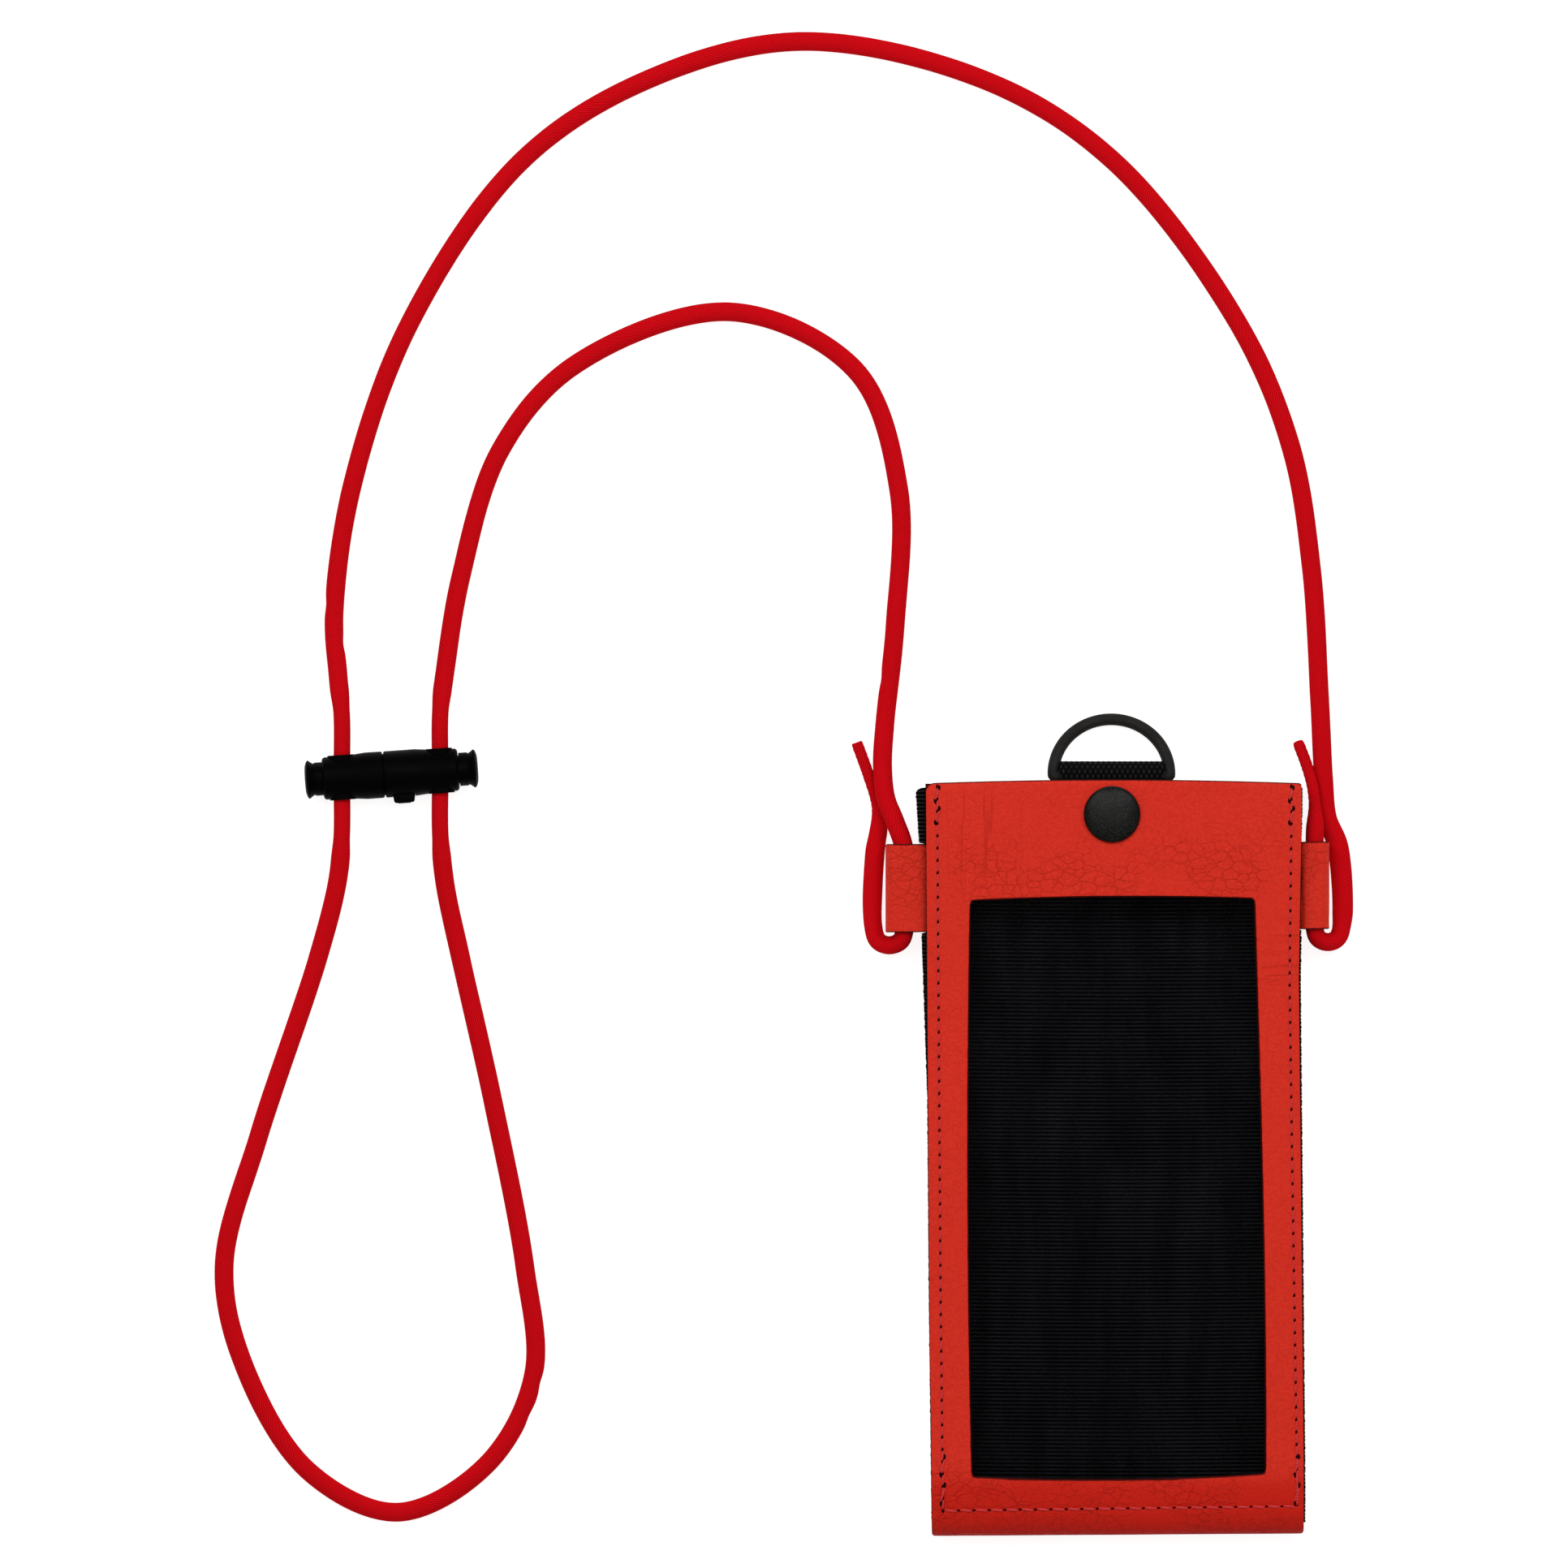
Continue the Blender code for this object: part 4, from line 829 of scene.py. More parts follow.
def smooth_route(route, longest_step):
    """Points along a Catmull-Rom curve through the route, each step no longer than asked."""
    ends = [Vector(route[0]) * 2 - Vector(route[1])] + [Vector(p) for p in route]
    ends.append(Vector(route[-1]) * 2 - Vector(route[-2]))
    points = []
    for p0, p1, p2, p3 in zip(ends, ends[1:], ends[2:], ends[3:]):
        d1, d2, d3 = [max((b - a).length, 1e-9) ** 0.5 for a, b in ((p0, p1), (p1, p2), (p2, p3))]
        tangent_1 = ((p1 - p0) / d1 - (p2 - p0) / (d1 + d2) + (p2 - p1) / d2) * d2
        tangent_2 = ((p2 - p1) / d2 - (p3 - p1) / (d2 + d3) + (p3 - p2) / d3) * d2
        steps = math.ceil((p2 - p1).length / longest_step)
        for k in range(steps):
            t = k / steps
            points.append(p1 * (2 * t ** 3 - 3 * t ** 2 + 1) + p2 * (3 * t ** 2 - 2 * t ** 3)
                          + tangent_1 * (t ** 3 - 2 * t ** 2 + t) + tangent_2 * (t ** 3 - t ** 2))
    return np.array([tuple(p) for p in points + [Vector(route[-1])]])


def cord_radii(points, lock_center):
    """The cord's radius at each point and side: ribbed tails, pressed in the lock, dented here and there."""
    run = distances(points)
    from_end = np.minimum(run, run[-1] - run)
    past_tail = smooth_step((from_end - CORD_TAIL_LENGTH) / CORD_TAIL_WIDENING)
    radius = CORD_TAIL_RADIUS + (CORD_TUNNEL_RADIUS - CORD_TAIL_RADIUS) * past_tail
    past_tab = smooth_step((from_end - CORD_TAB_LENGTH) / CORD_TAB_WIDENING)
    radius += (CORD_RADIUS - CORD_TUNNEL_RADIUS) * past_tab
    reach = np.abs(points[:, 1] - lock_center.y) - CORD_LOCK_REACH
    in_lock = (1 - smooth_step(reach / CORD_LOCK_EASE)) * (points[:, 0] < lock_center.x + 0.022)
    radius += (CORD_LOCK_RADIUS - radius) * in_lock
    tail = 1 - past_tail
    radius += tail * TAIL_RIB_DEPTH * np.cos(2 * math.pi * run / TAIL_RIB_PITCH)
    radius *= 1 + 0.015 * waviness(run, 0.0, 90.0, 3.1) * (1 - in_lock) * (1 - tail)
    radius *= np.where(from_end < 0.0003, 0.86, 1.0)
    radii = widened(radius, CORD_SIDES)
    for end, start, stop, growth in CORD_SWELLS:
        place = run if end == "right" else run[-1] - run
        swell = growth * smooth_step((place - start) / 0.005) * smooth_step((stop - place) / 0.010)
        radii += swell[:, None] * circle(CORD_SIDES)[0] ** 2
    ways = ring_ways(points, (0, 0, 1), CORD_SIDES)
    for place, pressed, depth in CORD_DENTS:
        away = np.linalg.norm(points[:, :2] - np.array(place), axis=1)
        facing = smooth_step(-(ways[:, :, :2] @ unit(np.array(pressed))))
        radii -= depth * np.exp(-(away / 0.0022) ** 2)[:, None] * facing
    return radii


def make_neck_cord(material, lock_center):
    """The woven cord, from its right tail to its left tail."""
    points = smooth_route(CORD_ROUTE, CORD_STEP)
    cord = tube("woven_neck_cord", points, cord_radii(points, lock_center), (0, 0, 1), CORD_SIDES, material)
    return settle(cord, "root", "red_cord", "neck_cord"), points


# ---------- cord lock

def lock_place():
    """The lock's own frame, from its plungers, which lie on its axis at equal distances."""
    corners = [corner for name in PLUNGER_NECK_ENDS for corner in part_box(name)]
    axis = Vector(JOINTS["plunger_left_press"]["axis"])
    center = sum(corners, Vector()) / len(corners) - axis * LOCK_MIDDLE_OFFSET
    return Matrix.Translation(center) @ Matrix.Rotation(math.atan2(axis.y, axis.x), 4, "Z")


def block(name, low, high, material):
    """A plain box, as a tool to cut with or a blank to work on."""
    corners = [(x, y, z) for x in (low[0], high[0]) for y in (low[1], high[1]) for z in (low[2], high[2])]
    faces = [(0, 1, 3, 2), (4, 6, 7, 5), (0, 4, 5, 1), (2, 3, 7, 6), (0, 2, 6, 4), (1, 5, 7, 3)]
    return build_mesh(name, corners, faces, [c[:2] for c in corners], [material])


def rod_along_y(name, x, radius, reach, material):
    """A plain rod along the cord's way, as a tool to cut with."""
    profile = [(-reach, 0.0), (-reach, radius), (reach, radius), (reach, 0.0)]
    rod = turned(name, profile, material, segments=48)
    rod.data.transform(Matrix.Translation((x, 0.0, 0.0)) @ Matrix.Rotation(math.pi / 2, 4, "Z"))
    return rod


def shell_profile(side, seam, end):
    """Outline of one half of the barrel; the right half has a spigot that goes into the left half."""
    start = [(seam, 0.0)]
    if side > 0:
        tip = seam - LOCK_SPIGOT_LENGTH
        start = [(tip, 0.0), (tip, LOCK_SPIGOT_RADIUS), (seam, LOCK_SPIGOT_RADIUS)]
    start.append((seam, LOCK_WAIST_RADIUS - 0.0001))
    taper = [(side * x, radius) for x, radius in LOCK_TAPER]
    rim = [(end - side * LOCK_LIP, LOCK_END_RADIUS), (end, LOCK_END_RADIUS - LOCK_LIP), (end, 0.0)]
    return rounded_profile(start + taper + rim, 0.0005)


def make_shell(side, place, plastic):
    """One half of the barrel: a collar round its bore for the cord, and a deep bore for its plunger."""
    if side < 0:
        name, seam, end = "lock_shell_left", LOCK_SEAM, LOCK_LEFT_END
    else:
        name, seam, end = "lock_shell_right", LOCK_SEAM + LOCK_SEAM_GAP, LOCK_RIGHT_END
    shell = turned("molded_" + name, shell_profile(side, seam, end), plastic)
    bore_x, floor = side * LOCK_BORE_X, side * PLUNGER_FLOOR
    carve(shell, rod_along_y("collar", bore_x, LOCK_COLLAR_RADIUS, LOCK_COLLAR_REACH, plastic), "UNION")
    bore = [(LOCK_SEATS[side], 0.0), (LOCK_SEATS[side], LOCK_SPRING_BORE), (floor, LOCK_SPRING_BORE),
            (floor, LOCK_BARREL_BORE), (side * LOCK_CUT_END, LOCK_BARREL_BORE), (side * LOCK_CUT_END, 0.0)]
    carve(shell, turned("bore", bore, plastic, segments=64))
    carve(shell, rod_along_y("cord_bore", bore_x, LOCK_BORE_RADIUS, 0.012, plastic))
    if side > 0:
        carve(shell, block("pocket", *BUTTON_POCKET, plastic))
    else:
        bottom, room = seam - LOCK_SPIGOT_LENGTH - LOCK_SEAM_GAP, LOCK_SPIGOT_RADIUS + LOCK_SEAM_GAP
        socket = [(bottom, 0.0), (bottom, room), (seam + LOCK_LIP, room), (seam + LOCK_LIP, 0.0)]
        carve(shell, turned("socket", socket, plastic, segments=64))
    soften(shell, 0.00022)
    shell.data.transform(place)
    return settle(shell, "cord_lock", "black_plastic", name)


def make_plunger(name, side, place, plastic):
    """Plunger: a grooved neck, a flared flange with a dished face to press, and a slot for the cord."""
    neck = PLUNGER_NECK_ENDS[name]
    profile = [(PLUNGER_INNER, 0.0), (PLUNGER_INNER, PLUNGER_RADIUS)]
    profile += [(neck + past, radius) for past, radius in PLUNGER_OUTLINE]
    profile = [(side * x, radius) for x, radius in rounded_profile(profile, 0.0002)]
    plunger = turned("molded_" + name, profile, plastic)
    near, far = LOCK_BORE_X - LOCK_BORE_RADIUS, LOCK_BORE_X + LOCK_BORE_RADIUS + 0.0020
    low_x, high_x = sorted((side * near, side * far))
    slot = block("slot", (low_x, -0.006, -LOCK_BORE_RADIUS), (high_x, 0.006, LOCK_BORE_RADIUS), plastic)
    soften(slot, 0.0010, segments=4)
    carve(plunger, slot)
    soften(plunger, 0.00012, angle=40.0)
    plunger.data.transform(place)
    return settle(plunger, name.replace("plunger_", "") + "_plunger", "black_plastic", name)


def make_spring(side, place, steel):
    """Coil spring behind a plunger, from its seat to the plunger's inner end."""
    word = "left" if side < 0 else "right"
    near, far = LOCK_SEATS[side], side * PLUNGER_INNER
    margin = side * (SPRING_GAP + SPRING_WIRE)
    share = np.linspace(0.0, 1.0, round(24 * SPRING_TURNS[side]) + 1)
    angle = 2 * math.pi * SPRING_TURNS[side] * share
    along = near + margin + (far - near - 2 * margin) * share
    points = np.stack([along, SPRING_RADIUS * np.cos(angle), SPRING_RADIUS * np.sin(angle)], axis=1)
    spring = tube(f"coiled_plunger_spring_{word}", points, SPRING_WIRE, (1.0, 0.0, 0.0), 10, steel)
    spring.data.transform(place)
    settle(spring, "cord_lock", "bare_steel", f"plunger_spring_{word}")
    joint = JOINTS[f"plunger_{word}_press"]
    length = abs(far - near)
    anchor = tuple(place @ Vector((near, 0, 0)))
    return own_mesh(spring, joint["name"], axis=tuple(joint["axis"]), anchor=anchor,
                     keep=(length - PLUNGER_TRAVEL) / length)


def make_button(place, plastic):
    """Release button: a key that narrows towards its face, with three grip ridges along it."""
    low_x, high_x = BUTTON_BASE
    key = block("key", (low_x, BUTTON_FACE, -BUTTON_HALF_HEIGHT), (high_x, BUTTON_BACK, BUTTON_HALF_HEIGHT),
                plastic)
    middle = (low_x + high_x) / 2
    for vertex in key.data.vertices:
        if vertex.co.y < (BUTTON_FACE + BUTTON_BACK) / 2:
            vertex.co.x = middle + (vertex.co.x - middle) * BUTTON_NARROWING
    soften(key, 0.0005, segments=4)
    parts = [key]
    for height in BUTTON_RIDGES:
        ridge = block("ridge", (low_x + 0.0012, BUTTON_FACE - 0.00015, height - 0.0003),
                      (high_x - 0.0012, BUTTON_FACE + 0.0008, height + 0.0003), plastic)
        soften(ridge, 0.00025, segments=3)
        parts.append(ridge)
    button = join("ridged_release_button", parts)
    button.data.transform(place)
    return settle(button, "release_button", "black_plastic", "lock_release_button")


def make_cord_lock(plastic, steel):
    """Every piece of the lock, and its centre."""
    place, sides = lock_place(), (-1, 1)
    pieces = [make_shell(side, place, plastic) for side in sides]
    pieces += [make_plunger(name, side, place, plastic) for name, side in zip(PLUNGER_NECK_ENDS, sides)]
    pieces.append(make_button(place, plastic))
    pieces += [make_spring(side, place, steel) for side in sides]
    return pieces, place.translation


def give_material(name, material):
    """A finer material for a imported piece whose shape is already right."""
    slots = frame["nodes"][name].data.materials
    slots.clear()
    slots.append(material)


# ---------- leather

def shell_columns():
    """The shell's columns: the strip they lie in (left, window, right) and how far across it."""
    side = spaced(*SIDE_COLUMNS) / SIDE_COLUMNS[-1][0]
    half = spaced(*WINDOW_COLUMNS) / (2 * WINDOW_COLUMNS[-1][0])
    strips = [side, np.concatenate([half[1:], 1 - half[-2:0:-1]]), 1 - side[::-1]]
    return np.repeat([0, 1, 2], [len(s) for s in strips]), np.concatenate(strips)


def shell_x(strip, share, y):
    """Places across the shell at a height on it."""
    drop = corner_drop(y - BACK_LOW.y, FOLD_CORNER)
    edges = [read_table(LEFT_EDGE, y) + drop, bowed(WINDOW_LEFT, y), bowed(WINDOW_RIGHT, y),
             read_table(RIGHT_EDGE, y) - drop]
    across = [near + (far - near) * share for near, far in zip(edges, edges[1:])]
    return np.select([strip == 0, strip == 1], across[:2], across[2])


def corner_drop(distance, radius):
    """How far a rounded corner falls away at a distance from the side edge."""
    inside = np.clip(radius - distance, 0.0, radius)
    return radius - np.sqrt(radius ** 2 - inside ** 2)


def top_edge(x):
    """The front's arched top edge with its rounded corners."""
    left, right = read_table(LEFT_EDGE, FRONT_HIGH.y), read_table(RIGHT_EDGE, FRONT_HIGH.y)
    corners = corner_drop(x - left, LEFT_CORNER) + corner_drop(right - x, RIGHT_CORNER)
    return FRONT_HIGH.y - TOP_ARCH * (x / FRONT_HIGH.x) ** 2 - corners


def window_edge(table, x, y, direction):
    """The window's top or bottom edge, eased into its rounded corners and back beyond them."""
    inside = np.minimum(x - bowed(WINDOW_LEFT, y), bowed(WINDOW_RIGHT, y) - x)
    ease = np.where(inside >= 0, corner_drop(inside, WINDOW_CORNER),
                    WINDOW_CORNER * (1 - smooth_step(-inside / (4 * WINDOW_CORNER))))
    return bowed(table, x) + direction * ease


def bend_share(y):
    """How far down its bend the front is at a place along it: 0 where it is flat, 1 at the fold's edge."""
    return np.clip((BEND_START - y) / (BEND_START - BACK_LOW.y), 0.0, 1.0)


def front_height(y):
    """Height of the front's outer face: flat, then bending down to the fold."""
    return FOLD_CENTER.z + FOLD_RADIUS * np.sqrt(1 - bend_share(y) ** 2)


def fold_skew(x, y):
    """How much further along the pouch the fold lies than if it were straight across."""
    return FOLD_SKEW * x * smooth_step((SLOPE_START - y) / 0.010)


def hollow(distance, width):
    """A smooth hollow, 1 deep at no distance and fading over a width."""
    return np.exp(-(distance / width) ** 2)


def front_relief(x, y):
    """Unevenness of the front's outer face: soft waves, creases, pressed seams and dropped edges."""
    relief = 0.00010 * waviness(x, y, 70.0, 1.7) + 0.00004 * waviness(x, y, 260.0, 5.3)
    seams = np.minimum(np.abs(x - seam_x(-1, y)), np.abs(x - seam_x(1, y)))
    above_bottom = y - bottom_seam(x)
    relief -= SEAM_DEPTH * hollow(seams, SIDE_SEAM_WIDTH) * smooth_step(above_bottom / 0.001 + 1)
    relief -= SEAM_DEPTH * hollow(above_bottom, BOTTOM_SEAM_WIDTH)
    sides = np.minimum(x - read_table(LEFT_EDGE, y), read_table(RIGHT_EDGE, y) - x)
    edge = np.minimum(sides, top_edge(x) - y)
    relief -= EDGE_DROP * hollow(np.maximum(edge, 0), EDGE_WIDTH)
    for (low_x, high_x), (low_y, high_y), stretch, scale in WRINKLES:
        reach = np.minimum(np.minimum(x - low_x, high_x - x), np.minimum(y - low_y, high_y - y))
        wave = waviness(x * stretch[0], y * stretch[1], scale, 4.2)
        relief += WRINKLE_DEPTH * wave * smooth_step(reach / 0.004)
    from_snap = np.hypot(x - SNAP_CENTER.x, y - SNAP_CENTER.y) - SNAP_RADIUS
    return relief - SNAP_DENT * hollow(from_snap, SNAP_DENT_WIDTH)


def seam_x(side, y):
    """Place of a side seam across the pouch."""
    if side < 0:
        return read_table(LEFT_EDGE, y) + LEFT_SEAM_INSET
    return read_table(RIGHT_EDGE, y) - read_table(RIGHT_SEAM_INSET, y)


def bottom_seam(x):
    """Place of the bottom seam, a little askew."""
    return np.interp(x, (-0.0435, 0.0450), (SEAM_BOTTOM_LEFT, SEAM_BOTTOM_RIGHT))


def shell_front(strip, share):
    """The flat part of the front: places, and the number of rows above, beside and below the window."""
    blocks = [spaced((0.0002, 0.0002), (0.0008, 0.0003), (0.0300, 0.0006)) / 0.0300,
              spaced((0.1450, 0.0006)) / 0.1450, spaced((0.0016, 0.0006)) / 0.0016]
    nominal = [FRONT_HIGH.y, WINDOW_TOP[1][1], WINDOW_BOTTOM[1][1], SLOPE_START]
    rows = []
    for k, shares in enumerate(blocks):
        for row in shares[(k > 0):]:
            x = shell_x(strip, share, nominal[k] + (nominal[k + 1] - nominal[k]) * row)
            edges = [top_edge(x), window_edge(WINDOW_TOP, x, WINDOW_TOP[1][1], -1),
                     window_edge(WINDOW_BOTTOM, x, WINDOW_BOTTOM[1][1], 1), np.full_like(x, SLOPE_START)]
            rows.append(edges[k] + (edges[k + 1] - edges[k]) * row)
    y = np.array(rows)
    return y, [len(blocks[0]) - 1, len(blocks[1]) - 1]


def shell_fold():
    """The rest of the shell's profile: down the slope, round the fold and up the back, with its normals."""
    reach = BEND_START - BACK_LOW.y
    slope = np.linspace(math.asin((BEND_START - SLOPE_START) / reach), math.pi / 2, 34)[1:]
    turn = np.radians(np.linspace(0, 90, 20)[1:])
    back = FOLD_CENTER.y + spaced((0.0060, 0.0008), (BACK_HIGH.y - FOLD_CENTER.y, 0.0017))[1:]
    y = np.concatenate([BEND_START - reach * np.sin(slope), FOLD_CENTER.y - FOLD_RADIUS * np.cos(turn), back])
    z = np.concatenate([FOLD_CENTER.z + FOLD_RADIUS * np.cos(slope),
                        FOLD_CENTER.z - FOLD_RADIUS * np.sin(turn), np.full(len(back), BACK_LOW.z)])
    normals = np.concatenate([
        unit(np.stack([-np.sin(slope) / reach, np.cos(slope) / FOLD_RADIUS], axis=1)),
        np.stack([-np.cos(turn), -np.sin(turn)], axis=1), np.tile([0.0, -1.0], (len(back), 1))])
    return y, z, normals


def shell_normals(front_y, fold_normals):
    """The ways out of the shell, at every point of its grid."""
    down = bend_share(front_y)
    slope = FOLD_RADIUS / (BEND_START - BACK_LOW.y) * down / np.sqrt(1 - down ** 2)
    front = unit(stacked(-slope, np.ones_like(slope)))
    normals = np.concatenate([front, widened(fold_normals, front_y.shape[1])])
    return np.concatenate([np.zeros((*normals.shape[:2], 1)), normals], axis=-1)


def make_leather_shell(materials):
    """The pouch's leather: the front with its window, carried round the fold into the back, in one piece."""
    strip, share = shell_columns()
    columns = len(strip)
    front_y, (above, beside) = shell_front(strip, share)
    fold_y, fold_z, fold_normals = shell_fold()
    y = np.concatenate([front_y, widened(fold_y, columns)])
    x = shell_x(strip, share, y)
    z = np.concatenate([front_height(front_y), widened(fold_z, columns)])
    normal = shell_normals(front_y, fold_normals)
    base = stacked(x, y + fold_skew(x, y), z)
    relief = np.where(normal[:, :, 2] > 0.05, front_relief(x, y) * smooth_step(normal[:, :, 2] * 3),
                      0.00006 * waviness(x, y, 80.0, 8.8) - 0.00006)
    run = distances(stacked(fold_y, fold_z))
    flat_y = np.concatenate([front_y, widened(SLOPE_START - 0.0005 - run, columns)])
    mask = np.ones((len(y) - 1, columns - 1), dtype=bool)
    window = np.flatnonzero(strip == 1)
    mask[above:above + beside, window[0] - 1:window[-1] + 1] = False
    shell = slab("leather_shell", base + normal * relief[:, :, None], base - normal * LEATHER,
                 stacked(x, flat_y), materials, 0.00035, mask)
    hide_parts("front_frame", "back_panel")
    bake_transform(shell)
    return shell


def make_back_pocket(materials):
    """Slip pocket on the back, with a thumb notch in its open edge."""
    low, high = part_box("back_pocket")
    notch = NOTCH_RADIUS * np.sin(np.radians(np.linspace(-90, 90, 25)))
    side = spaced((0.0004, 0.0002), (high.x - NOTCH_RADIUS, 0.0012))
    x = np.concatenate([low.x + side, notch[1:-1], (high.x - side)[::-1]])
    edge = high.y - np.sqrt(np.maximum(NOTCH_RADIUS ** 2 - x ** 2, 0.0))
    share = spaced((0.0004, 0.0002), (0.1480, 0.0012)) / 0.1480
    x, y = np.broadcast_arrays(x, low.y + (edge - low.y) * share[:, None])
    outer = low.z + POCKET_LIFT + 0.00004 * waviness(x, y, 120.0, 2.2) + 0.00004
    pocket = slab("back_card_pocket", stacked(x, y, outer), stacked(x, y, high.z), stacked(x, y), materials)
    return settle(pocket, "root", "red_leather", "back_pocket")


def rounded_path(corners, step=0.00025):
    """Points along an open path of (u, v, radius) corners, each turned on an arc-like curve."""
    path = [Vector(corners[0][:2])]
    for before, corner, after in zip(corners, corners[1:], corners[2:]):
        middle = Vector(corner[:2])
        ways = [(Vector(other[:2]) - middle).normalized() for other in (before, after)]
        start, end = [middle + way * corner[2] for way in ways]
        count = max(4, math.ceil((end - start).length / step))
        path += [bend(start, middle, end, k / count) for k in range(count + 1)]
    points = np.array([tuple(p) for p in path + [Vector(corners[-1][:2])]])
    run = distances(points)
    places = np.linspace(0.0, run[-1], math.ceil(run[-1] / step) + 1)
    return np.stack([np.interp(places, run, points[:, k]) for k in (0, 1)], axis=1), places


def path_normals(path):
    """Unit normals to the left of a path."""
    along = unit(np.gradient(path, axis=0))
    return np.stack([-along[:, 1], along[:, 0]], axis=1)


def two_faces(side, x, y, z, *ways):
    """Both faces of a sheet on one side of the pouch, from the ways in X and Z from its middle to each."""
    return [stacked(side * (x + way[:, :, 0]), y, z + way[:, :, 1]) for way in ways]


def tab_path(low, high):
    """A tab's folded strip seen along the pouch: from the neck, round the cord and back to the neck."""
    root = min(abs(low.x), abs(high.x))
    inner, outer = root + TAB_NECK + TAB_WALL / 2, max(abs(low.x), abs(high.x)) - TAB_WALL / 2
    bottom, top = low.z + TAB_WALL / 2, high.z - TAB_WALL / 2
    ply = TAB_WALL / 2 + 0.00015
    return rounded_path([
        (root, FOLD_CENTER.z - ply, 0.0), (inner, FOLD_CENTER.z - ply, 0.0006), (inner, bottom, 0.0016),
        (outer, bottom, 0.0026), (outer, top, 0.0026), (inner, top, 0.0016),
        (inner, FOLD_CENTER.z + ply, 0.0006), (root, FOLD_CENTER.z + ply, 0.0)])


def make_tab(name, side, materials):
    """One strip of leather folded into a loop round the cord, its two ends sewn together at the neck."""
    low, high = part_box(name)
    path, run = tab_path(low, high)
    length = high.y - low.y
    share = spaced((0.0004, 0.0002), (length - 0.0004, 0.0005), (length, 0.0002)) / length
    x, z, s = [widened(column, len(share)) for column in (path[:, 0], path[:, 1], run)]
    wander = 0.00012 * waviness(run, 0.0, 160.0, 6.0 + side)[:, None]
    y = low.y - 0.0002 + wander + (length + 0.0004) * share
    creases = smooth_step(waviness(s * 3.0, y * 0.4, 330.0, 4.4) * 2 - 0.2)
    relief = -0.00018 * creases - 0.00003
    outwards = -path_normals(path)[:, None, :]
    half = outwards * (TAB_WALL / 2)
    faces = two_faces(side, x, y, z, half + outwards * relief[:, :, None], -half)
    tab = slab("leather_" + name, *faces, stacked(s, y), materials, 0.0003)
    return settle(tab, "root", "red_leather", name), (length, run[-1])


# ---------- elastic

def rib_height(along):
    """Height of the elastic's round ribs, from 0 in the furrows to 1, at a place along them."""
    phase = np.mod(along / RIB_PITCH, 1.0) * 2 - 1
    return np.sqrt(np.maximum(1 - phase ** 2, 0.0))


def rib_stations(low, high, per_rib=6):
    """Places along the elastic, in step with its ribs."""
    first, last = math.ceil(low / RIB_PITCH * per_rib), math.floor(high / RIB_PITCH * per_rib)
    return np.unique(np.concatenate([[low], np.arange(first, last + 1) * RIB_PITCH / per_rib, [high]]))


def make_lining(elastic):
    """Ribbed elastic panel inside the back, stretched flat."""
    low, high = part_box("elastic_lining")
    x, y = np.meshgrid(np.linspace(low.x, high.x, 21), rib_stations(low.y, high.y)[::-1])
    sag = 0.00012 * waviness(x, y, 40.0, 9.4) - 0.00012
    skew = 0.00030 * np.sin((x - low.x) / (high.x - low.x) * math.pi)
    furrow = RIB_DEPTH * (1 - rib_height(y + skew))
    top, under = stacked(x, y, high.z + sag - furrow), stacked(x, y, low.z)
    panel = slab("ribbed_lining", top, under, stacked(x, y + skew), [elastic], 0.0002)
    return settle(panel, "root", "black_elastic", "elastic_lining")


def leather_inside(y):
    """Height of the front leather's inner face."""
    return front_height(y - 0.0006) - LEATHER * 1.02


def raw_edge(y, side, table, tab):
    """How far out the elastic's cut edge reaches, pulled in beside the tab."""
    edge = np.abs(read_table(LEFT_EDGE if side < 0 else RIGHT_EDGE, y))
    proud = read_table(table, y)
    proud = proud * np.sqrt(1 - (1 - np.clip((GUSSET_TOP - y) / 0.0015, 0.0, 1.0)) ** 2)
    beside_tab = smooth_step((tab[0].y - y) / 0.0006) + smooth_step((y - tab[1].y) / 0.0006)
    proud = -0.0006 + (proud + 0.0006) * np.clip(beside_tab, 0.0, 1.0)
    fray = 0.00016 * waviness(y, 0.0, 900.0, 2.0 + side)
    return edge + proud + 0.00016 * rib_height(2 * y) + 0.00012 * rib_height(y) + fray


def gusset_section(edge):
    """The elastic side's upper half: how far out it lies, and its share of the full height there."""
    angles = np.radians(np.linspace(0, 90, 9)[1:])
    web = WEB_X + (FLANGE_BEND_X - WEB_X) * (1 - np.sin(angles))
    flange = edge[:, None] + (FLANGE_BEND_X - edge[:, None]) * np.linspace(0.0, 1.0, 5)
    x = np.concatenate([flange, np.tile(web, (len(edge), 1))], axis=1)
    return x, np.tile(np.concatenate([np.ones(5), np.cos(angles)]), (len(edge), 1))


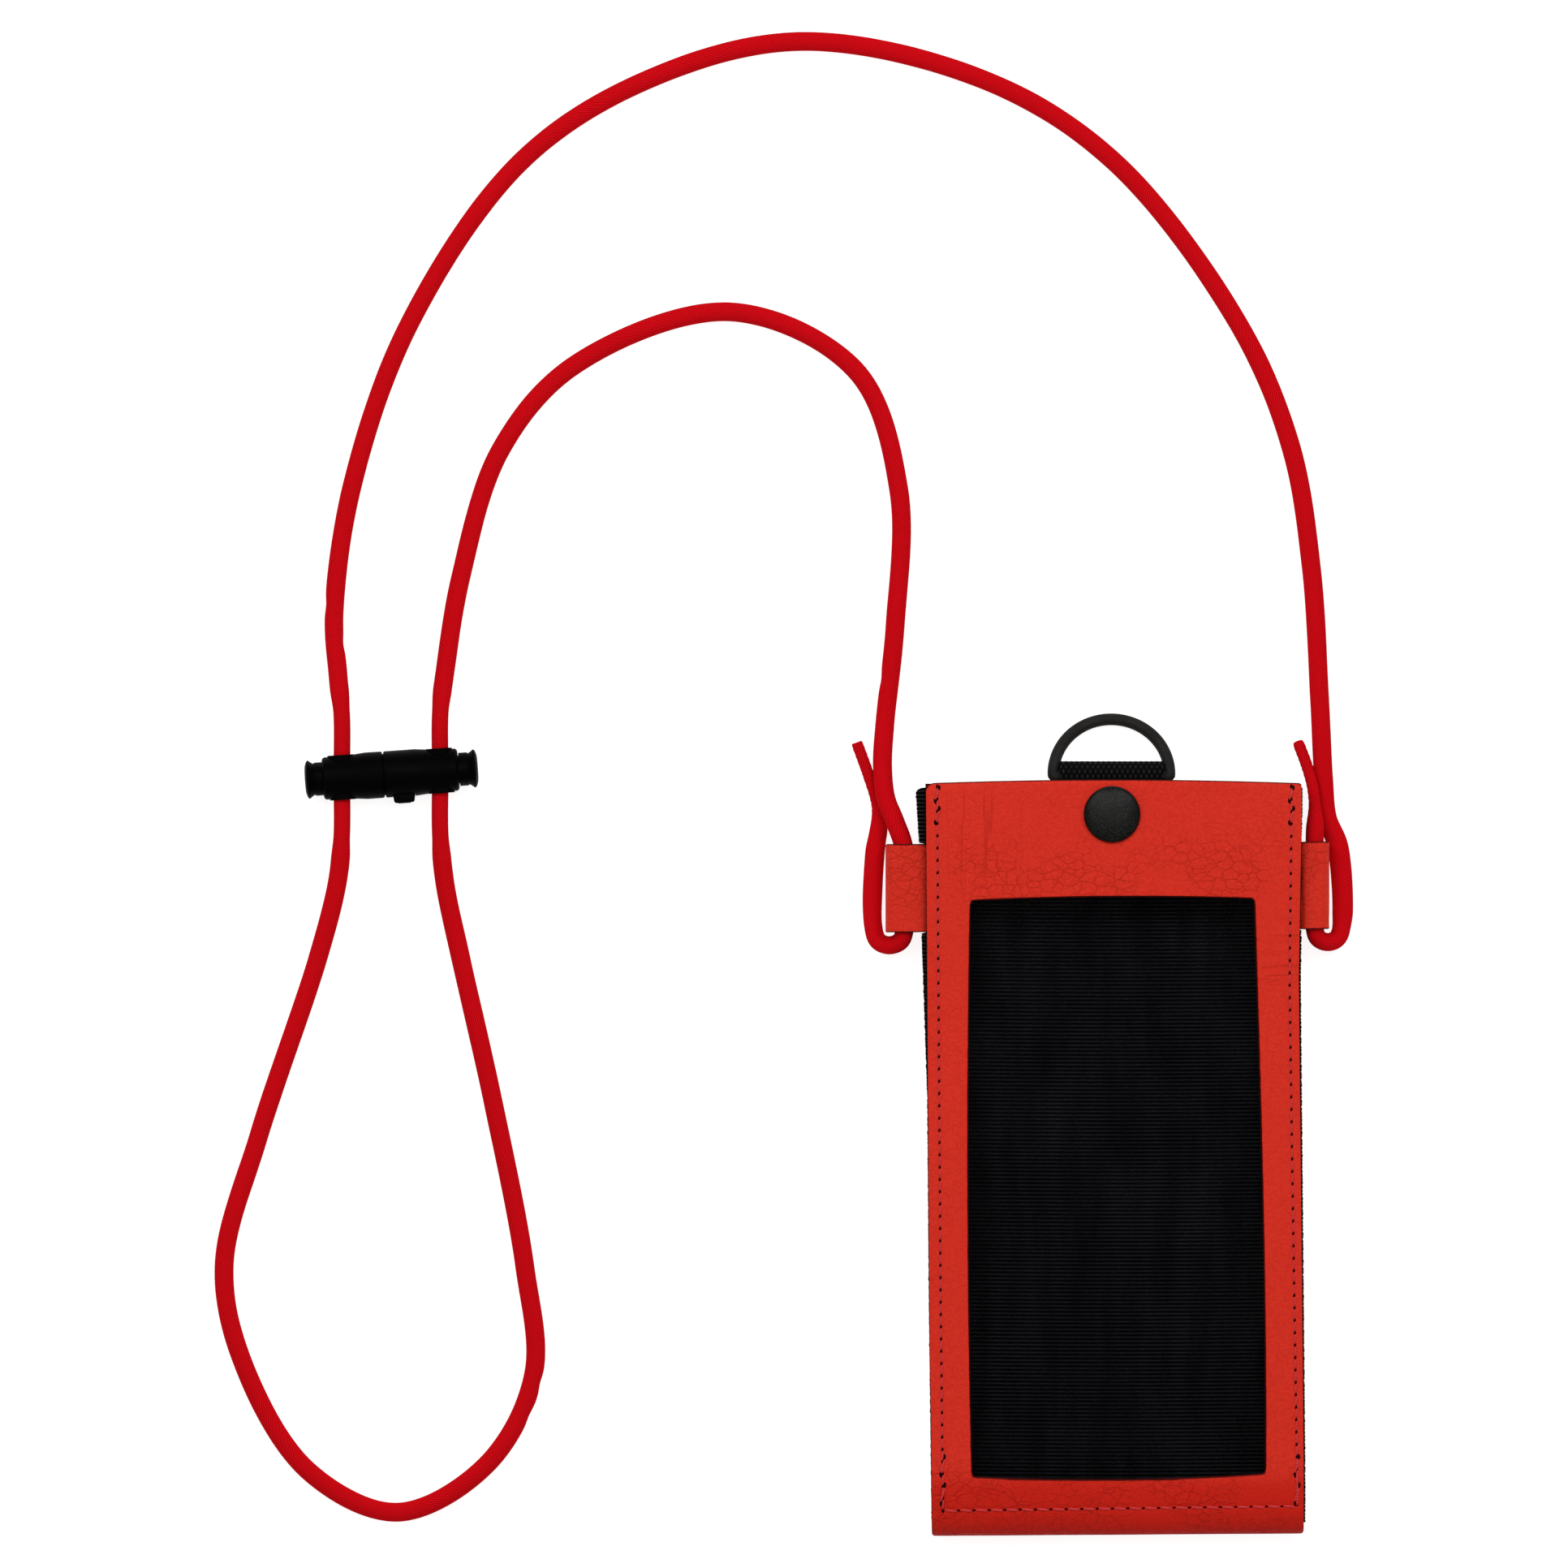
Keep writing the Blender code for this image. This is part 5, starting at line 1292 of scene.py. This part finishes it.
def make_gusset(name, side, table, tab_name, elastic):
    """Elastic side, a ribbed channel open outwards, with its raw edges beside the leather's edges."""
    low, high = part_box(name)
    y = rib_stations(low.y, high.y, 8)[::-1]
    x, lift = gusset_section(raw_edge(y, side, table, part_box(tab_name)))
    x = np.concatenate([x, x[:, -2::-1]], axis=1)
    lift = np.concatenate([lift, -lift[:, -2::-1]], axis=1)
    top = np.minimum(high.z, leather_inside(y) - 0.0003)
    drop = np.maximum(FOLD_CENTER.y - y, 0.0)
    half = FOLD_CENTER.z - low.z
    bottom = FOLD_CENTER.z - np.sqrt(half ** 2 - np.minimum(drop, half * 0.9) ** 2)
    reach_up = (top - FOLD_CENTER.z - ELASTIC / 2)[:, None]
    reach_down = (FOLD_CENTER.z - bottom - ELASTIC / 2)[:, None]
    z = FOLD_CENTER.z + np.where(lift > 0, lift * reach_up, lift * reach_down)
    along = unit(stacked(np.gradient(x, axis=1), np.gradient(z, axis=1)))
    inward = stacked(along[:, :, 1], -along[:, :, 0])
    way = inward * (ELASTIC / 2 - 0.00016 * (1 - rib_height(y)))[:, None, None]
    steps = np.hypot(np.diff(x, axis=1, prepend=x[:, :1]), np.diff(z, axis=1, prepend=z[:, :1]))
    y = y[:, None]
    gusset = slab("ribbed_" + name, *two_faces(side, x, y, z, way, -way),
                  stacked(np.cumsum(steps, axis=1), y), [elastic], 0.00015)
    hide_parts(name)
    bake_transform(gusset)
    return gusset


def make_window_film(material):
    """Clear film over the window, sewn in with the leather, a little slack in the middle."""
    low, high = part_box("window_film")
    y = np.concatenate([np.linspace(high.y, SLOPE_START, 110), [SLOPE_START - 0.0008, SLOPE_START - 0.0016]])
    x, y = np.meshgrid(np.linspace(low.x, high.x, 61), y)
    inside = np.minimum(np.minimum(x - low.x, high.x - x), np.minimum(high.y - y, y - low.y))
    slack = smooth_step((inside - 0.0060) / 0.0120)
    sag = -slack * (0.00035 + 0.00030 * waviness(x, y, 45.0, 7.7))
    drop = FRONT_HIGH.z - front_height(y)
    top, under = [stacked(x, y, height + sag - drop) for height in (high.z, low.z)]
    film = slab("clear_window_film", top, under, stacked(x, y), [material], 0.0001)
    return settle(film, "front", "clear_film", "window_film")


# ---------- closure

def weave_bumps(across, along):
    """Height of the webbing's plaited yarns, from 0 to 1, each row half a yarn aside from the last."""
    row = np.floor(along / WEAVE_LONG + 0.5)
    u = np.mod(across / WEAVE_WIDE + 0.5 * np.mod(row, 2) + 0.5, 1.0) * 2 - 1
    v = np.mod(along / WEAVE_LONG + 0.5, 1.0) * 2 - 1
    return np.sqrt(np.maximum(1 - u ** 2, 0.0) * np.maximum(1 - v ** 2, 0.0))


def strap_path(low, high):
    """The strap's middle line seen across the pouch: along the back, round the ring's bar, and back."""
    bottom, top = low.z + STRAP_THICKNESS / 2, high.z - STRAP_THICKNESS / 2
    radius = (top - bottom) / 2
    bight_y = high.y - STRAP_THICKNESS / 2 - radius
    angles = np.radians(np.linspace(-90, 90, 42))
    bight = stacked(bight_y + radius * np.cos(angles), (top + bottom) / 2 + radius * np.sin(angles))
    run_y = np.linspace(low.y, bight_y, 68)[:-1]
    return np.concatenate([stacked(run_y, bottom), bight, stacked(run_y[::-1], top)])


def make_strap(webbing):
    """Webbing strap: from inside the back, over the mouth round the ring's bar, down to the snap."""
    low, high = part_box("closure_strap")
    path = strap_path(low, high)
    run = distances(path)
    s, x = np.meshgrid(run, np.linspace(-STRAP_HALF_WIDTH, STRAP_HALF_WIDTH, 112), indexing="ij")
    selvedge = smooth_step(1 - (STRAP_HALF_WIDTH - np.abs(x)) / 0.0010)
    bumps = np.maximum(weave_bumps(x, s), selvedge * 0.9)
    half = STRAP_THICKNESS / 2 - WEAVE_DEPTH * (1 - bumps)
    offset = -path_normals(path)[:, None, :] * half[:, :, None]
    across = (low.x + high.x) / 2 + x * (1 - 0.004 * rib_height(s * RIB_PITCH / WEAVE_LONG))
    grids = [stacked(across, path[:, :1] + way * offset[:, :, 0], path[:, 1:] + way * offset[:, :, 1])
             for way in (1, -1)]
    cells = (grids[0][:-1, :-1, :2] + grids[0][1:, 1:, :2]) / 2
    from_stud = np.hypot(cells[:, :, 0] - SNAP_CENTER.x, cells[:, :, 1] - SNAP_CENTER.y)
    hole = (from_stud < STUD_HOLE_RADIUS) & (s[:-1, :-1] > run[-1] / 2)
    strap = slab("woven_closure_strap", *grids, stacked(x, s), [webbing], 0.0002, ~hole)
    return settle(strap, "root", "black_webbing", "closure_strap")


def make_snap_cap(enamel):
    """The snap's low-domed cap with a rolled rim, and its shank through the leather."""
    low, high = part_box("snap_cap")
    rim = FRONT_HIGH.z + SNAP_RIM_LIFT
    dome_low = rim + SNAP_RIM_HEIGHT
    dome = [(dome_low + (high.z - dome_low) * math.sin(angle), (SNAP_RADIUS - 0.00015) * math.cos(angle))
            for angle in np.radians(np.linspace(4, 86, 22))]
    profile = [(low.z, 0.0), (low.z, SNAP_SHANK_RADIUS), (rim, SNAP_SHANK_RADIUS),
               (rim, SNAP_RADIUS - 0.0003), (rim + 0.00012, SNAP_RADIUS - 0.00008),
               (rim + 0.00028, SNAP_RADIUS)]
    center = (SNAP_CENTER.x, SNAP_CENTER.y, 0.0)
    cap = turned("domed_snap_cap", profile + dome + [(high.z, 0.0)], enamel, "Z", center, 96)
    cap.data.set_sharp_from_angle(angle=math.radians(50))
    return settle(cap, "front", "black_metal", "snap_cap")


def make_d_ring(coating):
    """D-ring, turned about its straight bar until its round end rests on the surface below."""
    bar = Vector(JOINTS["d_ring_swing"]["pos_m"])
    droop = math.asin((bar.z - RING_WIRE - 0.00005) / (RING_RADIUS + RING_LEG))
    legs = [(-RING_RADIUS + 0.0007, 0.0), (RING_RADIUS - 0.0007, 0.0), (RING_RADIUS - 0.0002, 0.00010),
            (RING_RADIUS - 0.00004, 0.0003), (RING_RADIUS, RING_LEG)]
    angles = np.radians(np.linspace(0, 180, 97))
    arch = np.stack([RING_RADIUS * np.cos(angles), RING_LEG + RING_RADIUS * np.sin(angles)], axis=1)
    corner = [(-RING_RADIUS + 0.00004, 0.0003), (-RING_RADIUS + 0.0002, 0.00010)]
    path = np.concatenate([legs[:-1], arch, corner])
    points = [Matrix.Rotation(-droop, 3, "X") @ Vector((x, y, 0.0)) + bar for x, y in path]
    up = Matrix.Rotation(-droop, 3, "X") @ Vector((0.0, 0.0, 1.0))
    ring = tube("coated_d_ring", [tuple(p) for p in points], RING_WIRE, up, 24, coating, closed=True)
    return settle(ring, "ring", "black_metal", "d_ring")


# ---------- stitching

def front_point(place):
    """The place on the front leather at an X and Y."""
    x, y = (np.array([value]) for value in place)
    height = front_height(y - fold_skew(x, y)) + front_relief(x, y)
    return Vector((place[0], place[1], float(height[0])))


def pocket_point(place):
    """The place on the back pocket's outer face at an X and Y."""
    return Vector((place[0], place[1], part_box("back_pocket")[0].z + POCKET_LIFT))


def along_line(start, end, pitch):
    """Needle places from one point to another, about a pitch apart."""
    start, end = Vector(start), Vector(end)
    count = max(1, round((end - start).length / pitch))
    return [start.lerp(end, k / count) for k in range(count + 1)]


def side_seam(side, low_y, high_y):
    """Needle places down one side of the front."""
    straight = along_line((0.0, high_y), (0.0, low_y), SIDE_PITCH)
    return [Vector((float(seam_x(side, place.y)), place.y)) for place in straight]


def back_tack(side, low_y, high_y):
    """The crossed stitches where a side seam is sewn over again."""
    places = side_seam(side, low_y, high_y)
    crossed = []
    for k, place in enumerate(places):
        half = (places[1] - places[0]) * 0.5
        crossed.append(place + half * (0.35 if k % 2 else -0.15) + Vector((0.00034 * (-1) ** k, 0.0)))
    return crossed


class Stitches:
    """Thread and needle holes of several seams, gathered into two pieces."""

    def __init__(self, surface, up):
        self.surface, self.up = surface, Vector(up)
        self.thread = ([], [], [])
        self.holes = ([], [], [])

    def add_run(self, places, lift=0.00022, slant=0.00012, radius=THREAD_RADIUS, hole=(0.00062, 0.00036)):
        """One run of stitches through these needle places."""
        for near, far in zip(places, places[1:]):
            aside = Vector((-(far - near).y, (far - near).x)).normalized() * slant
            start = self.surface(near + (far - near) * STITCH_GAP + aside)
            end = self.surface(far - (far - near) * STITCH_GAP - aside)
            self.add_thread(start, end, lift, radius)
        for place, after in zip(places, places[1:] + [places[-2]]):
            self.add_hole(place, (after - place).normalized(), *hole)

    def add_thread(self, start, end, lift, radius, steps=8, sides=8):
        """One stitch: thread that rises out of one hole and dives into the next."""
        vertices, faces, places = self.thread
        base = len(vertices)
        along = (end - start).normalized()
        across = along.cross(self.up).normalized()
        above = across.cross(along)
        for k in range(steps + 1):
            t = k / steps
            swell = math.sin(math.pi * t) ** 0.5
            center = start.lerp(end, t) + self.up * (lift * (swell - STITCH_SINK))
            width = STITCH_END_WIDTH + (1 - STITCH_END_WIDTH) * swell
            for s in range(sides):
                angle = 2 * math.pi * s / sides
                way = across * math.cos(angle) + above * math.sin(angle)
                vertices.append(tuple(center + way * radius * width))
                places.append((s / sides, (end - start).length * t))
        for k in range(steps):
            for s in range(sides):
                a, b = base + k * sides + s, base + k * sides + (s + 1) % sides
                faces.append((a, b, b + sides, a + sides))
        faces.append(tuple(base + s for s in range(sides)))
        faces.append(tuple(base + steps * sides + s for s in range(sides)))

    def add_hole(self, place, along, long_radius, short_radius, sides=12):
        """One needle hole, a low oval in the leather that carries the painted shade of the hole."""
        vertices, faces, places = self.holes
        base = len(vertices)
        across = Vector((-along.y, along.x))
        center = self.surface(place)
        for s in range(sides):
            angle = 2 * math.pi * s / sides
            rim = place + along * (long_radius * math.cos(angle)) + across * (short_radius * math.sin(angle))
            vertices.append(tuple(self.surface(rim) + self.up * HOLE_RIM_LIFT))
            places.append(tuple(rim))
        vertices += [tuple(center + self.up * HOLE_MIDDLE_LIFT), tuple(center - self.up * HOLE_DEPTH)]
        places += [tuple(place), tuple(place)]
        for s in range(sides):
            a, b = base + s, base + (s + 1) % sides
            faces += [(a, b, base + sides), (a, b, base + sides + 1)]

    def finish(self, name, thread_material, hole_material, body, slot):
        """Make the two pieces."""
        for part, (vertices, faces, places), material in (
                ("thread", self.thread, thread_material), ("needle_holes", self.holes, hole_material)):
            settle(build_mesh(f"{name}_{part}", vertices, faces, places, [material]), body, slot)


def sew_front(thread, hole):
    """The seams down both sides and along the bottom of the front, and where they are sewn over again."""
    stitches = Stitches(front_point, (0.0, 0.0, 1.0))
    corners = []
    for side in (-1, 1):
        x = float(seam_x(side, SEAM_BOTTOM_LEFT))
        low = float(bottom_seam(x))
        corners.append((x, low))
        stitches.add_run(side_seam(side, low, SEAM_TOP), lift=0.00012, hole=SIDE_HOLE)
        for low_y, high_y in BACK_TACKS:
            stitches.add_run(back_tack(side, low_y, high_y), slant=0.00030, hole=TACK_HOLE)
    bottom = along_line(*corners, BOTTOM_PITCH)
    stitches.add_run(bottom, lift=0.00028, slant=0.00018, radius=0.00032, hole=BOTTOM_HOLE)
    stitches.finish("front_seam", thread, hole, "front", "red_leather")


def sew_pocket(thread, hole):
    """The seam round three sides of the back pocket."""
    low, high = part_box("back_pocket")
    stitches = Stitches(pocket_point, (0.0, 0.0, -1.0))
    left, right = low.x + POCKET_SEAM_INSET, high.x - POCKET_SEAM_INSET
    bottom, top = low.y + POCKET_SEAM_INSET, high.y - POCKET_SEAM_END
    corners = [(left, top), (left, bottom), (right, bottom), (right, top)]
    for start, end in zip(corners, corners[1:]):
        stitches.add_run(along_line(start, end, SIDE_PITCH), lift=0.00010, radius=0.00016)
    stitches.finish("pocket_seam", thread, hole, "root", "red_leather")


# ---------- stage

def make_camera():
    """Camera straight above the view's centre, with a lens as long as it is far."""
    camera = add_object("camera", bpy.data.cameras.new("camera"))
    camera.data.sensor_width = SENSOR
    camera.data.lens = SENSOR * CAMERA_HEIGHT / VIEW_WIDTH
    camera.data.clip_start, camera.data.clip_end = 0.1, 20.0
    camera.location = (*VIEW_CENTER, CAMERA_HEIGHT)
    bpy.context.scene.camera = camera


def make_area_light(name, place, size, power):
    """A soft square light that faces the middle of the view."""
    light = add_object(name, bpy.data.lights.new(name, "AREA"))
    light.data.shape, light.data.size, light.data.energy = "SQUARE", size, power
    light.location = place
    aim = Vector((*VIEW_CENTER, 0.0)) - Vector(place)
    light.rotation_euler = aim.to_track_quat("-Z", "Y").to_euler()
    light.visible_camera = False


def make_stage():
    """White paper floor, soft lights and a pale surround."""
    corners = [(x, y, 0.0) for x in (-FLOOR_HALF_WIDTH, FLOOR_HALF_WIDTH)
               for y in (-FLOOR_HALF_WIDTH, FLOOR_HALF_WIDTH)]
    build_mesh("floor", corners, [(0, 2, 3, 1)], [c[:2] for c in corners], [make_floor_material()])
    for light in LIGHTS:
        make_area_light(*light)
    world = bpy.data.worlds.new("surround")
    world.use_nodes = True
    background = world.node_tree.nodes["Background"]
    background.inputs["Color"].default_value = (1.0, 1.0, 1.0, 1.0)
    background.inputs["Strength"].default_value = SURROUND
    bpy.context.scene.world = world
    bpy.context.scene.view_settings.view_transform = "Standard"


def make_lock_and_cord(steel):
    """The cord lock, and the neck cord that runs through it and ends in the tabs."""
    lock_pieces, lock_center = make_cord_lock(make_plastic(), steel)
    cord, points = make_neck_cord(make_cord_fabric(), lock_center)


def make_leather_pieces(hide):
    """The shell, the back pocket and the tabs."""
    shell = make_leather_shell(hide)
    make_back_pocket(hide)
    for name, side in (("tab_left", -1), ("tab_right", 1)):
        tab, size = make_tab(name, side, hide)


def main():
    """Every piece of the case."""
    make_camera()
    make_stage()
    steel = make_steel()
    make_lock_and_cord(steel)
    hide = [make_leather(), make_leather_back(), make_leather_rim()]
    thread, hole = make_thread(), make_needle_hole()
    make_leather_pieces(hide)
    make_lining(make_elastic("ribbed_elastic", (0.0135, 0.0140, 0.0165)))
    sides = make_elastic("ribbed_side_elastic", (0.0300, 0.0285, 0.0270))
    make_gusset("gusset_left", -1, LEFT_RAW_EDGE, "tab_left", sides)
    make_gusset("gusset_right", 1, RIGHT_RAW_EDGE, "tab_right", sides)
    make_window_film(make_film())
    make_strap(make_webbing())
    make_snap_cap(make_enamel())
    make_d_ring(make_ring_metal())
    for name in ("snap_socket", "snap_stud", "snap_post"):
        give_material(name, steel)
    sew_front(thread, hole)
    sew_pocket(thread, hole)


main()
